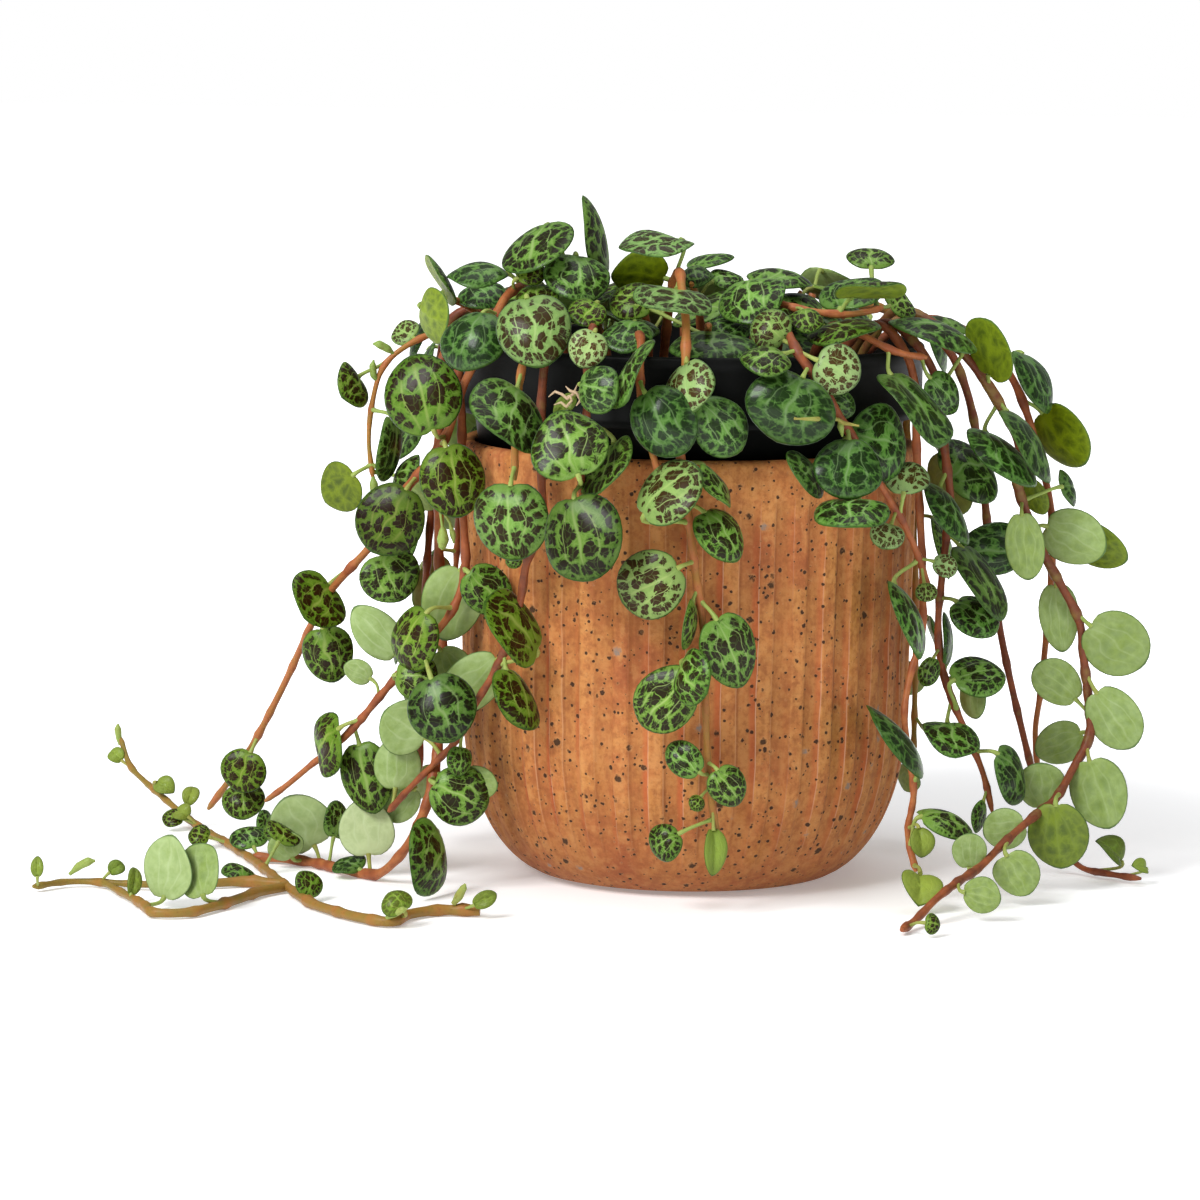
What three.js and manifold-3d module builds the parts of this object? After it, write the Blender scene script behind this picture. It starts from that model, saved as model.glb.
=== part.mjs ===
import * as THREE from "three";
import { mergeVertices } from "three/addons/utils/BufferGeometryUtils.js";
import Module from "manifold-3d";

const wasm = await Module();
wasm.setup();

// A string of turtles in its nursery pot, standing in a fluted terracotta-coloured cover pot.
// Origin: the centre of the cover pot's foot, on the surface that it stands on. Millimetres, +Z up,
// +Y to the back, +X to the right.

const coverPot = {
  height: 98,
  rimRadius: 51.5,
  shoulderRadius: 50.2,
  curveHeight: 37,
  footRadius: 29.5,
  mouthRadius: 47.8,
  floorRadius: 31,
  floorThickness: 6,
  cavitySides: 32,
  flutes: 40,
  fluteDepth: 0.7,
  fluteTop: 90,
};

const nurseryPot = {
  height: 94,
  rimRadius: 52.5,
  rimTop: 120.3,
  rimBevel: 0.8,
  collarHeight: 15.6,
  collarWall: 1.6,
  collarFloor: 1.4,
  neckRadius: 48.3,
  baseRadius: 37,
  wall: 1.3,
  sides: 34,
};

const soil = {
  top: 113,
  gap: 0.55,
  edgeDrop: 1,
  sides: 26,
  holeDepth: 14,
  holeGap: 0.3,
  holeSides: 4,
};

const plant = {
  stemRadius: 1,
  stemSides: 3,
  stemStep: 9,
  stemTip: 0.8,
  petioleRadius: 0.62,
  petioleFoot: 0.16,
  petioleLength: 3.2,
  bladeDome: 0.95,
  bladeBelly: 0.45,
  gap: 0.45,
  ownGap: 0.15,
  floorGap: 0.4,
  depthSteps: [0, -1.3, 1.3, -2.6, 2.6, -3.9, 3.9, -5.2, 5.2, -6.5, 6.5, -8, 8, -10, 10],
  shrinkSteps: [1, 0.88, 0.76],
  smallestLeaf: 5.5,
};

// Places are read off a front view of the plant, drawn through the pot's axis and seen from here.
// A third number gives the depth, and moves the place along the line of sight.
const viewpoint = { distance: 1100, height: 202.4 };

// Each strand: root in the soil [x, y], route of its stem [x, z, depth], side branches, and leaves
// [x, z, depth, turn, lift, width, length]: turn is where the top face looks (0 to the front, 90 to
// the right, 180 to the back), lift is how far it looks up, both in degrees.
const strands = [
  {
    name: "strand_front_middle",
    root: [-6, -14],
    route: [[-5, 126, -22], [-3, 136, -34], [-2, 131, -45], [-1, 124, -52], [-1, 116, -56],
      [-1, 104, -57], [-2, 94, -57], [0, 83, -57], [1, 73, -57], [3, 62, -57], [4, 53, -57],
      [5, 30, -57], [6, 17, -56],
      [9, 3, -55]],
    leaves: [[-8, 142, -34, 22, 79, 17, 17], [-4, 129, -51, 28, 71, 18, 18],
      [0, 110, -60, -36, 22, 13, 13], [7, 101, -59, 22, 8, 13, 15],
      [-4.5, 86, -61, -38, 30, 17, 17], [6, 87.5, -60, 73, 33, 12, 12],
      [7.5, 76.5, -61, 40, 36, 14, 14], [-8, 65, -61, -10, 10, 16, 16], [1, 56, -61, 78, 0, 10, 12],
      [10, 50, -60, 26, 5, 14, 18], [-4, 39, -61, -12, 5, 14, 17], [1, 44, -63, -62, 14, 13, 13],
      [0, 25, -60, -10, 8, 8, 10], [10, 19, -60, 12, 10, 9, 10], [3, 15, -59, 20, 20, 4, 4],
      [-4, 6, -58, -15, 15, 9, 8], [7, 4, -58, 30, 10, 6, 11]],
  },
  {
    name: "strand_front_second",
    root: [-11, -27],
    route: [[-12, 121, -44], [-11, 119.5, -53], [-11, 108, -56], [-9, 97, -57], [-7, 91, -58],
      [-4, 82, -59]],
    leaves: [[-14, 121, -46, -10, 58, 12, 12], [-13, 112.5, -58, -83, 29, 18, 18],
      [-6, 102, -60, -16, 12, 15, 17]],
  },
  {
    name: "strand_front_young",
    root: [-20, -22],
    route: [[-21, 124, -34], [-22, 122, -46], [-23, 115, -53], [-23, 104, -56], [-24, 94, -57],
      [-24, 84, -57]],
    leaves: [[-23, 126, -42, 0, 45, 9, 8], [-23, 118, -58, 0, 12, 9, 9],
      [-28, 105, -58, -10, 10, 4, 7], [-21, 109, -57, -40, 15, 11, 11],
      [-27, 96, -62, -8, 28, 18, 17], [-18, 91.5, -60, -62, 36, 17, 17],
      [-23.5, 75.5, -60, -23, 6, 20, 20]],
  },
  {
    name: "strand_front_left",
    root: [-30, -17],
    route: [[-32, 124, -30], [-36, 120, -41], [-38, 111, -46], [-39, 100, -48], [-39, 88, -49]],
    leaves: [[-35, 122, -50, -5, 26, 17, 18], [-40.5, 103, -53, 45, 35, 20, 20],
      [-40, 79, -53, -15, 6, 18, 18]],
  },
  {
    name: "strand_left_red",
    root: [-25, -29],
    route: [[-28, 123, -37], [-31, 120, -44], [-33, 111, -46], [-33, 98, -46], [-33, 84, -47],
      [-33, 75, -47],
      [-36, 70, -46], [-37, 63, -45], [-41, 49, -42], [-48, 36, -38], [-52, 28, -34], [-59, 21, -29],
      [-67, 12, -24]],
    leaves: [[-39, 70, -50, 10, 10, 4, 4], [-39, 54.5, -49, 58, 27, 19, 19],
      [-38, 38.5, -46, 62, 31, 16, 16], [-48, 42, -33, 178, 6, 12, 17],
      [-51, 24, -38, 20, 20, 6, 7], [-63, 32, -28, 178, 12, 15, 12], [-65, 23, -24, 176, 6, 11, 13],
      [-64, 14, -20, 160, 5, 8, 11]],
  },
  {
    name: "strand_left_low",
    root: [-37, -11],
    route: [[-41, 125, -18], [-47, 125.5, -20], [-51.5, 117, -21], [-51, 100, -24], [-51, 84, -27],
      [-50, 70, -28], [-51, 62, -29], [-56, 54, -29], [-67, 41, -26], [-77, 29, -20], [-84, 23, -14],
      [-91, 17, -8],
      [-95, 14, -4]],
    leaves: [[-45, 63, -35, 6, 8, 11, 13], [-61.5, 52, -33, -42, 9, 15, 15],
      [-53, 60, -20, 176, 6, 14, 18], [-53, 46, -24, 178, 5, 9, 9], [-61, 43, -32, -5, 22, 11, 10],
      [-55, 36, -35, -5, 14, 16, 16], [-74, 44, -18, 170, 10, 6, 7], [-70, 53, -17, 176, 6, 10, 15],
      [-81, 27, -18, -60, 6, 15, 15], [-72, 20, -23, -10, 5, 12, 17]],
  },
  {
    name: "strand_left_long",
    root: [-27, -5],
    route: [[-32, 125, -14], [-39, 132, -24], [-43, 126, -31], [-46, 119, -33], [-51, 109, -28],
      [-55, 97, -24],
      [-64, 85, -20], [-72, 72, -12], [-80, 63, -4], [-86, 52, 4], [-88, 47, 8], [-99, 25, 20],
      [-108, 12, 30]],
    leaves: [[-36, 135, -30, 0, 32, 7, 7], [-47.5, 135, -25, 19, 74, 14, 14],
      [-49, 120, -40, -22, 35, 16, 15], [-60, 107, -31, -10, 10, 18, 19],
      [-53, 88, -33, 10, 8, 15, 17], [-67, 79, -26, -8, 10, 16, 17], [-67, 66, -20, -5, 22, 14, 12],
      [-83.5, 60, -8, 45, 33, 15, 15], [-81, 48, -2, -8, 8, 12, 13],
      [-100, 21, 16, -10, 10, 11, 10], [-100, 14, 22, -5, 25, 10, 9]],
  },
  {
    name: "strand_left_arc",
    root: [-35, 3],
    route: [[-44, 123, 2], [-54, 122, -6], [-62, 119, -9], [-67, 116, -10], [-70, 110, -10], [-72, 99, -10],
      [-71, 88, -10]],
    leaves: [[-64, 121, -3, -30, 40, 7, 7], [-75.5, 109, -12, 71, 26, 11, 11],
      [-67, 95, -15, 66, 5, 11, 15], [-64, 89.5, -18, -73, 32, 10, 10],
      [-78, 86, -8, 142, 13, 12, 12], [-60, 85, -2, 172, 5, 8, 10]],
  },
  {
    name: "strand_left_runner",
    root: [-41, -1],
    route: [[-47, 124, -8], [-54, 119.5, -12], [-56, 108, -14], [-56, 90, -14], [-56, 70, -15],
      [-55, 52, -16],
      [-55, 40, -19], [-56, 26, -26], [-58, 15, -31], [-61, 7, -31], [-66, 0, -27], [-70, -2, -22],
      [-77, -1, -16], [-87, 1, -5], [-98, 1.6, -2]],
    branches: [
      [[-46, -10, -62], [-56, -10, -62], [-61, -10.5, -65], [-67, -13, -76], [-77, -11, -67],
      [-84, -9, -57],
        [-90, -5, -37], [-98, 1, -5], [-104, 5, 17], [-111, 9, 40], [-120, 16, 58], [-126, 22, 72],
        [-128, 28, 78]],
      [[-90, -5, -37], [-95, -6, -42], [-107, -10, -62], [-118, -12, -72], [-124, -9, -57], [-132, -5, -37],
        [-135, -4, -33], [-148, -6, -42]],
      [[-91, -4, -34], [-98, -4, -32], [-115, -5, -37], [-126, -5, -37], [-133, -4.5, -35]],
    ],
    leaves: [[-51, 16, -38, 5, 5, 14, 14], [-47, 19, -34, 172, 5, 8, 10],
      [-57, 1.5, -41, 71, 13, 18, 18], [-72, 8, -20, 176, 8, 13, 14], [-87, 9, -6, 178, 8, 15, 14],
      [-91, 6, -1, 20, 60, 9, 9], [-116.5, -2, -57, 142, -15, 15, 15],
      [-110, -2.5, -60, 142, -15, 13, 13], [-118, 17, 54, 0, 40, 5, 5], [-112, 15, 42, 0, 30, 4, 5],
      [-114, 11, 38, 0, 40, 5, 4], [-110, 6, 14, 10, 40, 6, 5], [-129, 24, 74, 0, 30, 4, 4],
      [-147, -2, -44, 0, 20, 3, 5], [-129, -2, -36, 0, 30, 4, 4], [-125, -5, -52, 40, 20, 4, 7],
      [-101, -2.5, -20, 45, 63, 8, 8], [-85, -5, -48, 30, 30, 7, 7], [-65, -9, -76, 10, 40, 8, 6],
      [-45, -8, -64, 0, 10, 4, 6]],
  },
  {
    name: "strand_right_front",
    root: [19, -21],
    route: [[20, 124, -34], [22, 122, -45], [24, 118, -51], [29, 111, -51], [36, 100, -48], [44, 87, -44],
      [50, 77, -39], [55, 64, -33]],
    leaves: [[18, 123, -46, 0, 15, 10, 9], [17, 116, -56, 0, 64, 13, 11],
      [33, 114, -53, 5, 12, 12, 11], [23, 106, -58, 4, 22, 21, 16], [34, 106, -46, 10, 10, 7, 7],
      [43, 98, -42, 22, 18, 18, 15], [36, 92, -55, 8, 28, 16, 15], [49, 90, -48, 4, 47, 11, 11],
      [26.5, 90.5, -55, 68, 36, 13, 13], [37, 82.5, -51, -8, 80, 17, 17],
      [45, 77, -47, 10, 45, 8, 7], [58, 70, -37, 20, 30, 6, 6], [54, 64, -38, 0, 30, 5, 5],
      [50.5, 58.5, -37, 78, 31, 19, 19]],
  },
  {
    name: "strand_right_short",
    root: [25, -24],
    route: [[32, 124, -32], [38, 122, -37], [45, 118.5, -38], [53, 117, -33]],
    leaves: [[51, 106.5, -43, 66, 49, 22, 22], [57, 109, -30, 30, 10, 9, 11],
      [34.5, 122.5, -40, -36, 74, 17, 17]],
  },
  {
    name: "strand_right_b",
    root: [35, -13],
    route: [[41, 125, -18], [49, 121.5, -22], [55, 113, -22], [57, 98, -22], [59, 87, -22], [58, 73, -22],
      [57, 61, -22], [57, 52, -22], [59, 43, -22], [62, 36, -22], [66, 27, -22], [68, 22, -22],
      [70, 14, -22]],
    leaves: [[54.5, 122, -26, 62, 74, 21, 21], [63, 92, -14, 15, 35, 18, 13],
      [58.5, 82.5, -28, 72, 37, 17, 17], [66.5, 67, -27, 67, 38, 20, 20],
      [65, 58.5, -26, 26, 40, 12, 12], [59, 53, -19, 76, 0, 9, 13], [66, 45, -27, 14, 54, 13, 13],
      [65, 41, -19, 119, -8, 11, 11], [55, 46, -27, -10, 10, 5, 7], [60.5, 31, -28, 37, 64, 14, 14],
      [74.5, 23, -22, 55, 23, 14, 14], [67, 13, -25, 55, 0, 6, 8]],
  },
  {
    name: "strand_right_c",
    root: [32, -22],
    route: [[39, 125, -23], [46, 121, -27], [50, 114, -28], [51, 100, -28], [52, 85, -28], [53, 70, -28],
      [53, 52, -29], [50, 42, -32], [50, 31, -34], [52, 22, -35], [52, 16, -35], [51, 9, -35], [51, 4, -36],
      [53, 0, -38]],
    leaves: [[48, 30, -41, 85, 41, 21, 21], [59.5, 11.5, -36, 61, 68, 14, 14],
      [54, 7, -41, 20, 20, 6, 7], [54, -3.5, -49, 25, 51, 10, 10]],
  },
  {
    name: "strand_right_main",
    root: [37, -3],
    route: [[45, 127, -8], [54, 125, -14], [61, 118, -18], [67, 111, -18], [70, 106, -18], [74, 98, -18],
      [74, 89, -17], [78, 78, -15], [83, 68, -13], [88, 60, -11], [90, 48, -10], [91, 41, -10],
      [91, 28, -12],
      [87, 23, -15], [84, 17, -20], [78, 12, -28], [71, 5, -40], [66, 0, -49], [60, -4, -58],
      [52, -11, -70],
      [50, -13, -76]],
    leaves: [[56.5, 124.5, -6, 61, 76, 14, 14], [67.5, 119, -24, 127, 18, 16, 16],
      [70.5, 95.5, -25, 66, 54, 20, 20], [76.5, 98.5, -22, 79, 40, 20, 20],
      [76, 75, -20, 172, 8, 9, 16], [87, 77, -11, 172, 8, 13, 15], [85, 88, -10, 75, 22, 9, 9],
      [78, 86, -12, 160, 10, 6, 9], [84, 59, -8, 178, 6, 9, 16], [97, 53, -12, 175, 8, 15, 16],
      [84, 44, -8, 178, 6, 10, 13], [97, 36, -12, 175, 6, 12, 16], [85, 30, -8, 178, 6, 10, 12],
      [94, 19, -14, 172, 6, 13, 17], [81, 20, -15, 178, 8, 11, 11], [85, 9, -24, 170, 8, 14, 16],
      [73, 10, -26, 178, 8, 10, 10], [65, 5, -42, 178, 10, 8, 9], [76, 0, -41, 170, 12, 11, 11],
      [68, -5, -60, 170, 12, 9, 9], [57, -12, -77, 20, 20, 5, 4]],
  },
  {
    name: "strand_right_behind",
    root: [38, 8],
    route: [[48, 125, 2], [60, 124, 0], [70, 116, -2], [76, 104, -3], [80, 90, -3], [82, 82, -2],
      [82, 66, 0],
      [81, 51, 2], [80, 38, 3], [79, 29, 4], [80, 24, 4]],
    leaves: [[77.5, 112.5, -8, 65, 36, 16, 16], [83.5, 99.5, -9, 133, 18, 16, 16],
      [92, 75, -3, 162, 10, 10, 15], [69, 74, -4, 20, 5, 12, 16]],
  },
  {
    name: "strand_right_floor",
    root: [31, 20],
    route: [[44, 125, 14], [55, 122, 16], [62, 110, 16], [66, 90, 16], [70, 60, 14], [76, 34, 12],
      [82, 14, 8],
      [87, 5, 2], [91, 2, -1], [96, 1, -6], [104, 0, -12]],
    leaves: [[58.5, 88.5, 22, 130, 15, 15, 16], [97.5, 5.5, -8, 55, 28, 8, 8],
      [104, 2, -13, 60, 30, 4, 5]],
  },
  {
    name: "spray_top_right",
    root: [14, -9],
    route: [[15, 126, -20], [18, 129, -30], [23, 128, -34], [31, 126, -35], [38, 127, -33], [43, 128, -29]],
    leaves: [[13.5, 130, -33, -36, 58, 16, 16], [20, 134.5, -12, 17, 77, 15, 15],
      [26, 125, -40, 5, 55, 8, 8], [36, 131.5, -26, -28, 58, 15, 15],
      [40.5, 132.5, -33, -159, 67, 16, 16], [46.5, 129, -22, 53, 37, 9, 9],
      [40, 139, -6, 10, 66, 11, 10], [9, 123, -42, 5, 60, 12, 11]],
  },
  {
    name: "spray_top_middle",
    root: [3, -4],
    route: [[2, 126, -12], [1, 131, -20], [0, 133, -26]],
    leaves: [[-11.5, 135, -14, -175, 33, 13, 13], [4, 138, -12, -47, 73, 11, 11],
      [1, 134.5, -22, -9, 57, 8, 8], [8, 134, -16, 20, 55, 8, 8]],
  },
  {
    name: "spray_front_rim",
    root: [3, -28],
    route: [[4, 123, -38], [4, 123.5, -45]],
    leaves: [[5, 119.5, -50, 0, 74, 20, 15], [-13, 129, -30, -5, 40, 11, 11]],
  },
  {
    name: "spray_top_left",
    root: [-22, -5],
    route: [[-22, 126, -10], [-26, 133, -16], [-28, 137, -18]],
    leaves: [[-21.5, 143, -15, 82, 15, 19, 19], [-34.5, 141, -22, -46, 54, 18, 18],
      [-25.5, 134, -26, 13, 47, 15, 15]],
  },
  {
    name: "spray_left",
    root: [-40, 14],
    route: [[-46, 124, 6], [-52, 128, -4], [-55, 129, -14]],
    leaves: [[-55.5, 133, -20, 111, 25, 13, 13], [-58, 125, -24, 119, 3, 13, 13],
      [-47, 130, -4, -26, 66, 11, 11]],
  },
];

// The same generator is used for every random draw.
const draws = { seed: 4117 };
function draw(low, high) {
  draws.seed = (draws.seed * 16807) % 2147483647;
  return low + ((high - low) * draws.seed) / 2147483647;
}

const degrees = Math.PI / 180;
const vector = (x, y, z) => new THREE.Vector3(x, y, z);

function seen(x, z, depth) {
  const scale = 1 + depth / viewpoint.distance;
  return vector(x * scale, depth, viewpoint.height + (z - viewpoint.height) * scale);
}

// Strands behind the pot and short shoots in the middle are set by rule: leaves alternate along them.
const backStrands = { count: 10, firstAngle: 32, lastAngle: 167, rootRadius: 38, hangRadius: 56 };
const middleShoots = { count: 10, innerRadius: 9, outerRadius: 35 };

function backStrand(index) {
  const { count, firstAngle, lastAngle, rootRadius, hangRadius } = backStrands;
  const angle = (firstAngle + ((lastAngle - firstAngle) * index) / (count - 1)) * degrees;
  const root = rootRadius + draw(-3, 3);
  const hang = hangRadius + draw(0, 4);
  const drop = draw(48, 112);
  const sway = draw(-5, 5);
  const [cosine, sine] = [Math.cos(angle), Math.sin(angle)];
  const at = (out, z, side = 0) => vector(out * cosine - side * sine, out * sine + side * cosine, z);
  const points = [at(root + 5, 125), at(50, 126.5), at(hang, 121)];
  const end = Math.max(123 - drop, 10);
  for (let z = 108; z > end; z -= 14) {
    points.push(at(hang + (108 - z) * 0.06, z, sway * Math.sin((108 - z) / 26)));
  }
  points.push(at(hang + (108 - end) * 0.06, end, sway * Math.sin((108 - end) / 26)));
  const leaves = [];
  const size = draw(13, 16);
  let side = index % 2 ? 1 : -1;
  for (let z = 122; z > end - 4; z -= draw(10, 13)) {
    const age = (z - end) / (122 - end);
    const width = size * (0.55 + 0.5 * Math.min(1, age * 1.6)) * draw(0.88, 1.08);
    const out = hang + (122 - z) * 0.05 + draw(1, 4);
    const centre = at(out, z - 3, side * (width * 0.5 + 2.2));
    const turn = 90 + angle / degrees + side * draw(8, 42);
    const lift = draw(5, 40);
    leaves.push({ centre, turn, lift, width, length: width * draw(0.98, 1.15) });
    side = -side;
  }
  return { name: `strand_back_${index + 1}`, root: [root * cosine, root * sine], points, leaves };
}

function middleShoot(index) {
  const { count, innerRadius, outerRadius } = middleShoots;
  const angle = (index * 137.5 + 60) * degrees;
  const radius = innerRadius + (outerRadius - innerRadius) * Math.sqrt((index + 0.5) / count);
  const x = radius * Math.cos(angle);
  const y = 6 + radius * Math.sin(angle) * 0.86;
  const lean = draw(3, 7);
  const height = draw(9, 20) * (1 - 0.3 * (radius / outerRadius));
  const top = vector(x + lean * Math.cos(angle), y + lean * Math.sin(angle), 117 + height);
  const points = [vector(x, y, 116), vector((x + top.x) / 2, (y + top.y) / 2, 117 + height * 0.6), top];
  const leaves = [];
  for (let number = 0; number < 4; number += 1) {
    const around = angle + (number * 137.5 + draw(-25, 25)) * degrees;
    const width = draw(11, 16);
    const reach = width * 0.5 + draw(1, 3);
    const z = 119 + height * (0.35 + 0.16 * number);
    const centre = vector(top.x + reach * Math.cos(around), top.y + reach * Math.sin(around), z);
    const lift = draw(48, 76);
    const length = width * draw(0.98, 1.12);
    leaves.push({ centre, turn: 90 + around / degrees, lift, width, length });
  }
  return { name: `shoot_middle_${index + 1}`, root: [x, y], points, leaves };
}

// Half a width across and half a length along; the petiole fills the notch between first and last.
const bladeOutline = [[0.44, -0.95], [0.94, -0.42], [0.96, 0.36], [0.46, 0.94],
  [-0.46, 0.94], [-0.96, 0.36], [-0.94, -0.42], [-0.44, -0.95]];

// A leaf's blade has its own frame: across, along (from its base to its tip) and its normal.
function setBlade(leaf, samples) {
  const { centre, length } = leaf;
  const reach = length / 2 + plant.petioleLength;
  let best = Infinity;
  for (const point of samples) {
    const miss = Math.abs(point.distanceTo(centre) - reach);
    if (miss < best - 0.3) {
      best = miss;
      leaf.node = point;
    }
  }
  const turn = leaf.turn * degrees;
  const lift = leaf.lift * degrees;
  leaf.normal = vector(Math.sin(turn) * Math.cos(lift), -Math.cos(turn) * Math.cos(lift), Math.sin(lift));
  const along = centre.clone().sub(leaf.node);
  along.addScaledVector(leaf.normal, -along.dot(leaf.normal));
  if (along.length() < 0.5) along.set(0, 0, -1).addScaledVector(leaf.normal, leaf.normal.z);
  leaf.along = along.normalize();
  leaf.across = leaf.along.clone().cross(leaf.normal);
  leaf.base = onBlade(leaf, 0, -0.8, 0);
  leaf.rim = bladeOutline.map(([u, v]) => onBlade(leaf, u, v, 0));
  leaf.radius = Math.max(leaf.width, leaf.length) * 0.52;
  return leaf;
}

function onBlade(leaf, u, v, height) {
  return leaf.centre.clone()
    .addScaledVector(leaf.across, (u * leaf.width) / 2)
    .addScaledVector(leaf.along, (v * leaf.length) / 2)
    .addScaledVector(leaf.normal, height);
}

// Whether the rod from a to b comes within a distance of the blade.
function rodMeetsBlade(a, b, leaf, distance) {
  const heights = [a, b].map((point) => point.clone().sub(leaf.centre).dot(leaf.normal));
  const within = (point, height) => {
    const u = (2 * point.clone().sub(leaf.centre).dot(leaf.across)) / (leaf.width + 2 * distance);
    const v = (2 * point.clone().sub(leaf.centre).dot(leaf.along)) / (leaf.length + 2 * distance);
    const off = Math.hypot(u, v);
    if (off >= 1.02) return false;
    const thick = (height > 0 ? plant.bladeDome : plant.bladeBelly) * (1 - off * 0.8);
    return Math.abs(height) < thick + distance;
  };
  if (within(a, heights[0]) || within(b, heights[1])) return true;
  if (heights[0] * heights[1] >= 0) return false;
  const share = heights[0] / (heights[0] - heights[1]);
  return within(a.clone().lerp(b, share), 0);
}

function bladesMeet(first, second, distance) {
  if (first.centre.distanceTo(second.centre) > first.radius + second.radius + distance) return false;
  for (const [one, other] of [[first, second], [second, first]]) {
    for (let i = 0; i < one.rim.length; i += 1) {
      const next = one.rim[(i + 1) % one.rim.length];
      if (rodMeetsBlade(one.rim[i], next, other, distance)) return true;
      if (rodMeetsBlade(one.centre, one.rim[i], other, distance)) return true;
    }
  }
  return false;
}

function pointToRod(point, a, b) {
  const span = b.clone().sub(a);
  const share = Math.min(1, Math.max(0, point.clone().sub(a).dot(span) / Math.max(span.lengthSq(), 1e-9)));
  return point.distanceTo(a.clone().addScaledVector(span, share));
}

function potWall(z) {
  const { height, rimRadius, shoulderRadius, curveHeight, footRadius } = coverPot;
  if (z < curveHeight) {
    const drop = 1 - Math.max(0, z) / curveHeight;
    return footRadius + (shoulderRadius - footRadius) * Math.sqrt(1 - drop * drop);
  }
  return shoulderRadius + ((rimRadius - shoulderRadius) * (z - curveHeight)) / (height - curveHeight);
}

function clearOfPots(point) {
  const radius = Math.hypot(point.x, point.y);
  if (point.z < plant.floorGap) return false;
  if (point.z < coverPot.height + 0.5) return radius > potWall(point.z) + 0.5;
  if (point.z > nurseryPot.rimTop + 0.5) return true;
  if (radius > nurseryPot.rimRadius + 0.5) return true;
  return radius < nurseryPot.rimRadius - nurseryPot.collarWall - 1 && point.z > soil.top + 0.6;
}

const placed = [];
const rods = [];

function leafIsClear(leaf, owner) {
  for (const point of leaf.rim) {
    if (!clearOfPots(point)) return false;
    if (!clearOfPots(point.clone().lerp(leaf.centre, 0.4))) return false;
  }
  for (let step = 1; step < 5; step += 1) {
    if (!clearOfPots(leaf.node.clone().lerp(leaf.base, step / 4))) return false;
  }
  for (const rod of rods) {
    if (rod.owner === owner) {
      if (rod.petiole && rodMeetsBlade(rod.a, rod.b, leaf, rod.radius)) return false;
      continue;
    }
    const distance = rod.radius + plant.gap;
    const near = rod.a.distanceTo(leaf.centre) < leaf.radius + 9;
    if (near && rodMeetsBlade(rod.a, rod.b, leaf, distance)) return false;
    for (let step = 1; step < 5; step += 1) {
      const point = leaf.node.clone().lerp(leaf.base, step / 4);
      if (pointToRod(point, rod.a, rod.b) < distance + plant.petioleRadius) return false;
    }
  }
  for (const other of placed) {
    const distance = other.owner === owner ? plant.ownGap : plant.gap;
    if (bladesMeet(leaf, other, distance)) return false;
    if (rodMeetsBlade(leaf.node, leaf.base, other, distance + plant.petioleRadius)) return false;
  }
  return true;
}

// A leaf that would cross another strand is moved along the line of sight, then made smaller.
function placeLeaf(wanted, samples, owner) {
  for (const shrink of plant.shrinkSteps) {
    for (const step of plant.depthSteps) {
      const scale = 1 + step / viewpoint.distance;
      const eye = vector(0, -viewpoint.distance, viewpoint.height);
      const centre = wanted.centre.clone().sub(eye).multiplyScalar(scale).add(eye);
      const leaf = { ...wanted, centre, width: wanted.width * shrink, length: wanted.length * shrink };
      setBlade(leaf, samples);
      if (leafIsClear(leaf, owner)) return leaf;
    }
  }
  return null;
}

// A stem that comes near the floor is laid on it; the start is a straight length in the soil.
function layStem(points, start = []) {
  const lowest = plant.stemRadius + plant.floorGap;
  const rested = points.map(({ x, y, z }) => vector(x, y, z < lowest + 1.2 ? lowest : z));
  const curve = new THREE.CatmullRomCurve3(rested, false, "centripetal");
  const steps = Math.max(2, Math.round(curve.getLength() / plant.stemStep));
  const path = [...start, ...curve.getSpacedPoints(steps)];
  const samples = [];
  for (let i = 0; i + 1 < path.length; i += 1) {
    for (let part = 0; part < 5; part += 1) samples.push(path[i].clone().lerp(path[i + 1], part / 5));
  }
  return { path, samples };
}

// A closed solid through rings of points, each ring the same length, its ends filled.
function loft(rings) {
  const size = rings[0].length;
  const corners = rings.flat();
  const faces = [];
  for (let row = 0; row + 1 < rings.length; row += 1) {
    for (let i = 0; i < size; i += 1) {
      const a = row * size + i;
      const b = row * size + ((i + 1) % size);
      faces.push([a, b, b + size], [a, b + size, a + size]);
    }
  }
  const last = (rings.length - 1) * size;
  for (let i = 1; i + 1 < size; i += 1) {
    faces.push([0, i + 1, i], [last, last + i, last + i + 1]);
  }
  return toGeometry(corners, faces);
}

function toGeometry(corners, faces) {
  const geometry = new THREE.BufferGeometry();
  const places = corners.flatMap((point) => [point.x, point.y, point.z]);
  geometry.setAttribute("position", new THREE.Float32BufferAttribute(places, 3));
  geometry.setIndex(faces.flat());
  return geometry;
}

function tube(points, radius, sides, tipShare = 1) {
  const rings = [];
  let side = vector(0, 0, 1);
  for (let i = 0; i < points.length; i += 1) {
    const before = points[Math.max(i - 1, 0)];
    const after = points[Math.min(i + 1, points.length - 1)];
    const ahead = after.clone().sub(before).normalize();
    side.addScaledVector(ahead, -side.dot(ahead));
    if (side.length() < 0.1) side = vector(1, 0, 0).addScaledVector(ahead, -ahead.x);
    side.normalize();
    const up = ahead.clone().cross(side);
    const size = radius * (1 + (tipShare - 1) * (i / (points.length - 1)));
    const section = [];
    for (let k = 0; k < sides; k += 1) {
      const turn = ((k + 0.5) / sides) * 2 * Math.PI;
      const across = side.clone().multiplyScalar(size * Math.cos(turn));
      section.push(across.addScaledVector(up, size * Math.sin(turn)).add(points[i]));
    }
    rings.push(section);
  }
  return loft(rings);
}

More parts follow.
